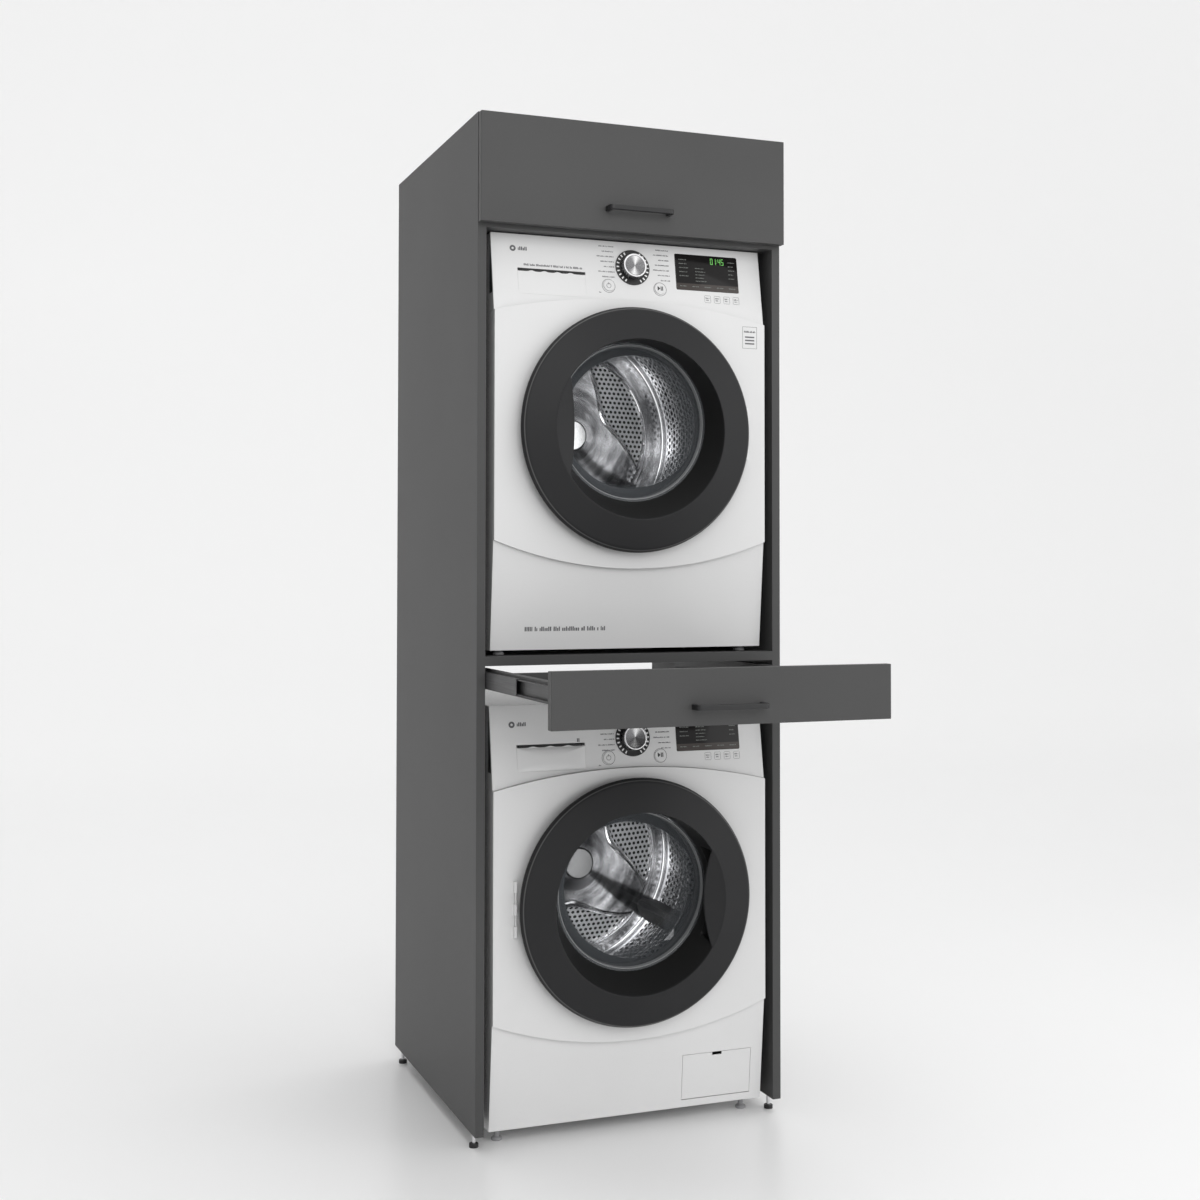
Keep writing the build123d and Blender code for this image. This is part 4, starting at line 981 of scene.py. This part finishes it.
BADGE_X = -256      # a generic badge at the fascia's left end: a small ring and short strokes
for m, first, button, display, badge in ((WASHER, 30.0, 112.0, 111.0, 38.4),
                                         (DRYER, 10.5, 96.8, 105.0, 30.6)):
    rects = program_rows(first) + touch_marks(display)
    rects += words(-72, -66, button + 15, 2.4, 70)
    button_signs(m, button)
    rects += words(BADGE_X + 11, BADGE_X + 33, badge - 4.0, 8.0, 75)
    rings = ring_marks(m, [(POWER_X, button, 14.8), (START_X, button, 14.8)], 0.9)
    disc = ring_marks(m, [(BADGE_X, badge, 6.5)], 4.0)
    points, faces = join(slabs(rects, m), rings, disc)
    make_piece(m.kind + "_marks", points, faces, "cabinet", "grey_plastic", INK, smooth=False)
tank_words = slabs(words(-234, -105, 62.0, 4.6, 90), DRYER)
make_piece("tank_marks", *tank_words, "water_tank", "grey_plastic", INK, smooth=False)
low_words = slabs(words(-117, -109, 71.0, 7.5, 95), WASHER)
make_piece("bin_marks", *low_words, "detergent_drawer", "grey_plastic", INK, smooth=False)
print("marks printed")

# %% [markdown]
# ## Bar handles
# A handle is one slim bar that bends back at both ends to the board. Its path is a U with
# rounded corners, and a rounded rectangle is carried along it, square to the path at each step.

# %% Handle bars
def handle(node, body, rise, wide=9.0, tall=10.0):
    """Path in the (x, y) plane from board to board; the section is offset along the path's
    normal n and along Z. Normals come from the central difference of the path."""
    low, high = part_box(node)
    x0, x1 = low.x / MM + wide / 2, high.x / MM - wide / 2
    y0, y1 = low.y / MM + wide / 2, high.y / MM
    z = (low.z + high.z) / 2 / MM + rise
    bend = rounded([(x0, y1), (x0, y0), (x1, y0), (x1, y1)], [0, 6, 6, 0], 8)
    path = bend[8:-8]
    way = np.gradient(path, axis=0)
    way /= np.linalg.norm(way, axis=1)[:, None]
    normal = np.stack([way[:, 1], -way[:, 0]], 1)
    h, v = wide / 2, tall / 2
    section = rounded([(-h, -v), (h, -v), (h, v), (-h, v)], 1.4, 4)
    flat = path[:, None, :] + normal[:, None, :] * section[None, :, :1]
    level = np.broadcast_to(z + section[None, :, 1:], (*flat.shape[:2], 1))
    points = np.concatenate([flat, level], -1).reshape(-1, 3) * MM
    return make_piece(node + "_bar", points, tube_faces(len(path), len(section)), body,
                      "black_metal", powder, replaces=[node])


for node, body, rise in (("flap_handle", "flap", 2.0), ("drawer_handle", "laundry_drawer", 0.0)):
    low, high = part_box(node)
    print(node, [round((b - a) / MM, 1) for a, b in zip(low, high)], handle(node, body, rise).name)

# %% [markdown]
# ## Small signs on the front panels
# Low on the dryer sits a line of small print, and high at its right edge a square label. They
# are kept as generic strokes and bars. The panel there is slightly curved, so each stroke's
# depth is found by looking straight back at the panel from in front.

# %% Panel signs
def on_panel(rects, node, base):
    """Closed boxes on an upright panel, z in mm above base. Each corner lies at the panel's
    own depth there, a little sunk in or standing off by the ink's height."""
    x, up = corners(rects)
    z = base + up * MM
    depth = [front_at(node, a, b) for a, b in zip(x.ravel(), z.ravel())]
    depth = np.array(depth).reshape(x.shape)
    return boxes([np.stack([x * MM, depth - w * MM, z], -1) for w in (-0.05, INK_HIGH)])


low_print = words(-230, -52, 0, 9.0, 140)
label = [(250, 284, 46, 46.7), (250, 284, 0, 0.7), (250, 250.7, 0.7, 46), (283.3, 284, 0.7, 46),
         (253, 281, 35, 35.7), (256, 278, 9, 12), (256, 278, 16, 19), (256, 278, 23, 26)]
label += words(254, 280, -38, 4.0, 141)
LOW_PRINT_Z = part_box("dryer_front_panel")[0].z + 47 * MM
LABEL_Z = DRYER.middle + 184 * MM
for name, rects, base in (("panel_print", low_print, LOW_PRINT_Z),
                          ("panel_label", label, LABEL_Z)):
    make_piece(name, *on_panel(rects, "dryer_front_panel", base), "cabinet", "grey_plastic", INK,
               smooth=False)
print("panel signs made")

# %% [markdown]
# ## Machine feet
# Both machines stand on small screwed feet: a flared pad below and a slim threaded stem above.
# They are turned profiles, four to a machine, set in from the corners of the CAD feet's box.

# %% Feet of both machines
PAD, STEM = 11.0, 5.5       # mm: radii of a foot's pad and of its stem
INSET = 0.02                # m: from the corners of the CAD feet's box


def machine_feet(machine, finish):
    """Profile: pad with a soft edge, a short flare, and the stem up to the machine."""
    low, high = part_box(machine.kind + "_feet")
    tall = (high.z - low.z) / MM
    profile = rounded([(POLE, 0), (PAD, 0), (PAD, 5), (PAD * 0.6, 7.5), (STEM, 8),
                       (STEM, tall), (POLE, tall)], [0, 0.8, 1.2, 1, 0.5, 0, 0])
    points, faces, _ = turn(profile[:, 0] * MM, profile[:, 1] * MM, FULL[::4], False)
    upright = points + [0, 0, low.z]
    spots = [(x, y) for x in (low.x + INSET, high.x - INSET)
             for y in (low.y + INSET, high.y - INSET)]
    feet = join(*[(upright + [x, y, 0], faces) for x, y in spots])
    return make_piece(machine.kind + "_small_feet", *feet, "cabinet", "black_plastic", finish,
                      replaces=[machine.kind + "_feet"])


for m, finish in ((WASHER, grey_plastic), (DRYER, pale_plastic)):
    print(machine_feet(m, finish).name)

# %% [markdown]
# ## Small drawer faces and grip slots
# The detergent drawer bulges a little like a pillow, and the water tank's face lies flush, so
# that its outline hardly shows. Above each runs the dark slot for the fingers, a near-black strip
# of painted shade, and the face's upper edge waves up into it in a few soft bumps.

# %% Small drawer faces
BIN_LEFT, BIN_RIGHT, BIN_TALL = -247, -101, 47.0    # mm
SLOT_UP, SLOT_HALF = 49.9, 2.75     # mm: middle of the dark slot over the face's foot, half height


def bin_face(machine, body, grow, bulge):
    """Rings of one rounded outline, each scaled by s about the middle of the face. The height
    over the fascia is bulge * (1 - s^5), so the middle is flat and the rim falls away."""
    x0, x1, low, high = BIN_LEFT - grow, BIN_RIGHT + grow, -grow, BIN_TALL
    outline = rounded([(x0, low), (x1, low), (x1, high), (x0, high)], [7.0, 7.0, 0.6, 0.6], 8)
    middle = np.array([(x0 + x1) / 2, (low + high) / 2])
    scale = np.array([1, 1, 0.995, 0.98, 0.955, 0.92, 0.87, 0.8, 0.7, 0.55, 0.35, 0.1])
    over = np.concatenate([[-1.5], 0.04 + bulge * (1 - scale[1:] ** 5)])
    rings = middle + scale[:, None, None] * (outline - middle)
    height = np.broadcast_to(over[:, None, None], (*rings.shape[:2], 1))
    local = np.concatenate([rings, height], -1)
    points = machine.on_face(0.0, machine.bin_z, local.reshape(-1, 3) * MM)
    return make_piece(machine.kind + "_bin_face", points, tube_faces(len(scale), len(outline)),
                      body, "white_plastic", front_white)


def strip(name, machine, body, x, lower, upper, under, over, finish):
    """A thin plate between two edges given as heights over the face's foot."""
    loop = np.concatenate([np.stack([x, lower], 1), np.stack([x[::-1], upper[::-1]], 1)])
    m, k = len(loop), np.arange(len(x) - 1)
    local = np.concatenate([np.column_stack([loop, np.full(m, w)]) for w in (under, over)]) * MM
    flat = np.stack([k, k + 1, m - 2 - k, m - 1 - k], 1)
    faces = grid_faces(2, m, False, True).tolist() + flat.tolist() + (flat[:, ::-1] + m).tolist()
    points = machine.on_face(0.0, machine.bin_z, local)
    return make_piece(name, points, faces, body, "black_plastic", finish, smooth=False)


def slot_and_bumps(machine, body, bumps):
    """Near-black strip of painted slot shade with round ends, and a white strip with cos^2 bumps
    over its lower edge.
    """
    x = np.linspace(-246.6, -104.5, 200)
    out = np.clip((np.abs(x + 175.55) - 71.05 + 2.8) / 2.8, 0, 1)
    half = SLOT_HALF * np.sqrt(np.clip(1 - out**2, 0.001, 1))
    strip(machine.kind + "_slot", machine, body, x, SLOT_UP - half, SLOT_UP + half, -0.8,
          INK_HIGH, SLOT_SHADE)
    phase = np.clip((x + 232) / 113, 0, 1)
    wave = 0.5 - 0.5 * np.cos(2 * math.pi * bumps * phase)
    lift = 46.9 + 0.3 + 2.3 * wave**2
    strip(machine.kind + "_slot_edge", machine, body, x, np.full(len(x), 46.6), lift, -0.3, 0.3,
          front_white)


bin_face(WASHER, "detergent_drawer", 0.5, 4.2)
bin_face(DRYER, "water_tank", 0.6, 0.0)
slot_and_bumps(WASHER, "detergent_drawer", 3)
slot_and_bumps(DRYER, "water_tank", 4)
print("small drawer faces made")

# %% [markdown]
# ## Display windows
# The window is a dark glossy pane with green seven-bar digits and a lighter band along its
# lower edge. The pane is a rounded slab, and the digits are small glowing bars on it.

# %% Windows and digits
def window_finish():
    f = Finish("window_dark", (0.015, 0.014, 0.014), 0.12, Specular_IOR_Level=0.2)
    x, up, _ = f.split(f.uv())
    smear = f.noise(18.0, 2.0)
    band = f.between(up, -25.2 * MM, -24.6 * MM, 1.0, 0.0)
    f.feed("Base Color", f.blend(band, (0.011, 0.01, 0.01), (0.06, 0.052, 0.048)))
    f.feed("Roughness", f.between(smear, 0.3, 0.7, 0.08, 0.2))
    return f


def glow(name, colour, strength):
    f = Finish(name, tuple(c * 0.3 for c in colour), 0.4, Emission_Strength=strength)
    pulse = f.noise(400.0, 1.0)
    f.feed("Emission Color", f.blend(pulse, tuple(c * 0.9 for c in colour), colour))
    return f


WINDOW_X = 177 * MM             # middle of the window, right of the machine's middle
PANE_WIDE, PANE_TALL = 72.8, 39.8       # mm: half width and half height


def pane(machine):
    """Rounded slab 146 by 80 mm, its outline a rectangle with corner arcs."""
    outline = rounded([(-PANE_WIDE, -PANE_TALL), (PANE_WIDE, -PANE_TALL),
                       (PANE_WIDE, PANE_TALL), (-PANE_WIDE, PANE_TALL)], 4.0, 8)
    levels = [(-1.9, 0.0), (0.1, 0.0), (0.4, 0.35)]
    rows = []
    for level, shrink in levels:
        ring = outline * (1 - shrink / 40.0)
        rows.append(np.column_stack([ring, np.full(len(ring), level)]))
    local = np.concatenate(rows) * MM
    points = machine.on_face(WINDOW_X, machine.display_z, local)
    return points, tube_faces(len(levels), len(outline)), local[:, :2]


def digit_bars(text, x, drop, width, height, bar):
    """Rectangles of seven-bar figures. Bars a, g and d lie level from top to foot, b and c
    stand at the right, f and e at the left."""
    shapes = {"0": "abcdef", "1": "bc", "4": "fgbc", "5": "afgcd"}
    rects = []
    for k, figure in enumerate(text):
        if figure == ":":
            for share in (0.35, 0.7):
                dot = -drop - height * share
                rects.append((x, x + bar, dot, dot + bar))
            x += bar * 3
            continue
        base = -drop - height
        for part in shapes[figure]:
            if part in "adg":
                z = {"a": base + height - bar, "d": base, "g": base + (height - bar) / 2}[part]
                rects.append((x + bar * 0.3, x + width - bar * 0.3, z, z + bar))
            else:
                left = x if part in "ef" else x + width - bar
                low = base + height / 2 if part in "bf" else base
                rects.append((left, left + bar, low + bar * 0.3, low + height / 2 - bar * 0.3))
        x += width + bar * 1.6
    return rects


WINDOW = window_finish()
GREEN = glow("digits_green", (0.3, 1.0, 0.22), 0.5)
SOFT = glow("icons_soft", (0.4, 0.43, 0.4), 0.12)
panes = [pane(m) for m in (WASHER, DRYER)]
points, faces = join(*[(p, f) for p, f, _ in panes])
make_piece("panes", points, faces, "cabinet", "display_glass", WINDOW,
           np.concatenate([p[2] for p in panes]), replaces=["display_windows"])
for m in (WASHER, DRYER):
    drop = m.display_drop
    bars = digit_bars("01:45", 187, drop - 33.5, 5.6, 13.5, 1.1)
    points, faces = slabs(bars, m, 0.35, 0.55)
    make_piece(m.kind + "_digits", points, faces, "cabinet", "display_glass", GREEN, smooth=False)
    small = []
    for i in range(5):
        small += words(113 + i * 28.5, 129 + i * 28.5, drop + 30.5, 2.2, 100 + i)
        small += words(113, 131 + (i * 7) % 5, drop - 28 + i * 9, 2.0, 110 + i)
        small += words(150, 170 + (i * 5) % 7, drop - 10 + i * 7, 2.0, 120 + i)
        small += words(228, 244 - (i * 3) % 5, drop - 28 + i * 9, 2.0, 130 + i)
    points, faces = slabs(small, m, 0.35, 0.5)
    make_piece(m.kind + "_window_marks", points, faces, "cabinet", "display_glass", SOFT,
               smooth=False)
print("windows made")

# %% [markdown]
# ## Stage, light and camera
# A pale seamless floor, a large soft key light high in front, a fill from the right and one
# light from above. A small lamp stands in each door opening, so that the drums don't sink into
# black. The pale sky is dimmer on the left. The camera stands to the left at about the height
# of the drawer and looks almost level; a small shift frames the tall object without tilting
# its uprights.

# %% Floor
def floor_finish():
    f = Finish("floor_pale", (0.9, 0.9, 0.9), 0.32)
    haze = f.noise(2.0, 3.0)
    f.feed("Roughness", f.between(haze, 0.3, 0.7, 0.28, 0.36))
    _, y, _ = f.split(f.place())
    near = f.blend(haze, (0.87, 0.87, 0.87), (0.89, 0.89, 0.89))
    f.feed("Base Color", f.blend(f.between(y, 1.5, 6.0), near, (0.985, 0.985, 0.985)))
    return f


FLOOR = floor_finish()


def stage_floor():
    """A flat sheet that sweeps up far behind the object, in metres: a quarter circle joins the
    floor to the upright part behind."""
    front, flat_end, sweep, top, half = -6, 5, 3, 9.0, 18
    flat = np.linspace(front, flat_end, 12)
    turned = np.linspace(0, math.pi / 2, 16)[1:]
    y = np.concatenate([flat, flat_end + sweep * np.sin(turned), [flat_end + sweep]])
    z = np.concatenate([0 * flat, sweep - sweep * np.cos(turned), [top]])
    x = np.linspace(-half, half, 3)
    sides = [np.broadcast_to(v, (len(y), 3)) for v in (x[None], y[:, None], z[:, None])]
    points = np.stack(sides, -1).reshape(-1, 3)
    mesh = bpy.data.meshes.new("stage_floor")
    mesh.from_pydata(points.tolist(), [], grid_faces(len(y), 3)[:, ::-1].tolist())
    mesh.polygons.foreach_set("use_smooth", [True] * len(mesh.polygons))
    mesh.materials.append(FLOOR.material)
    sheet = bpy.data.objects.new("stage_floor", mesh)
    bpy.context.scene.collection.objects.link(sheet)
    return sheet


print(stage_floor().name)

# %% Lights
def soft_light(name, place, aim, size, power):
    light = bpy.data.lights.new(name, "AREA")
    light.shape = "RECTANGLE"
    light.size, light.size_y = size
    light.energy = power
    lamp = bpy.data.objects.new(name, light)
    way = Vector(aim) - Vector(place)
    turned = way.to_track_quat("-Z", "Y").to_matrix().to_4x4()
    lamp.matrix_world = Matrix.Translation(place) @ turned
    bpy.context.scene.collection.objects.link(lamp)
    return lamp


soft_light("key", (-1.0, -4.2, 3.2), (0, 0, 1.0), (2.4, 2.4), 40)
soft_light("fill", (3.2, -3.0, 1.8), (0, 0, 1.0), (2.5, 3.0), 24)
soft_light("top", (0.0, -0.4, 4.5), (0, 0, 1.0), (3.0, 3.0), 30)
for m in (WASHER, DRYER):
    soft_light(m.kind + "_port", (0, FRONT + 0.088, m.axis), (0, FRONT + 0.4, m.axis),
               (0.26, 0.26), 0.45)
world = bpy.data.worlds.new("pale_sky")
world.use_nodes = True
sky = world.node_tree
shine = sky.nodes["Background"]
shine.inputs["Color"].default_value = (1, 1, 1, 1)
way = sky.nodes.new("ShaderNodeTexCoord")
parts = sky.nodes.new("ShaderNodeSeparateXYZ")
ramp = sky.nodes.new("ShaderNodeMapRange")
for key, value in (("From Min", -0.9), ("From Max", 0.1), ("To Min", 0.36), ("To Max", 1.07)):
    ramp.inputs[key].default_value = value
sky.links.new(way.outputs["Generated"], parts.inputs[0])
sky.links.new(parts.outputs["X"], ramp.inputs["Value"])
sky.links.new(ramp.outputs["Result"], shine.inputs["Strength"])
bpy.context.scene.world = world
bpy.context.scene.view_settings.view_transform = "Standard"
print("lights set")

# %% Camera
camera_data = bpy.data.cameras.new("camera")
camera_data.sensor_width = 36.0
camera_data.lens = 48.04
camera_data.shift_y = -0.0603
camera_data.clip_end = 100
camera = bpy.data.objects.new("camera", camera_data)
camera.rotation_euler = (math.radians(91.441), math.radians(-0.067), math.radians(-20.953))
camera.location = (-1.2515, -3.0725 + FRONT, 1.1591)
bpy.context.scene.collection.objects.link(camera)
bpy.context.scene.camera = camera
print("camera at", tuple(round(v, 3) for v in camera.location))
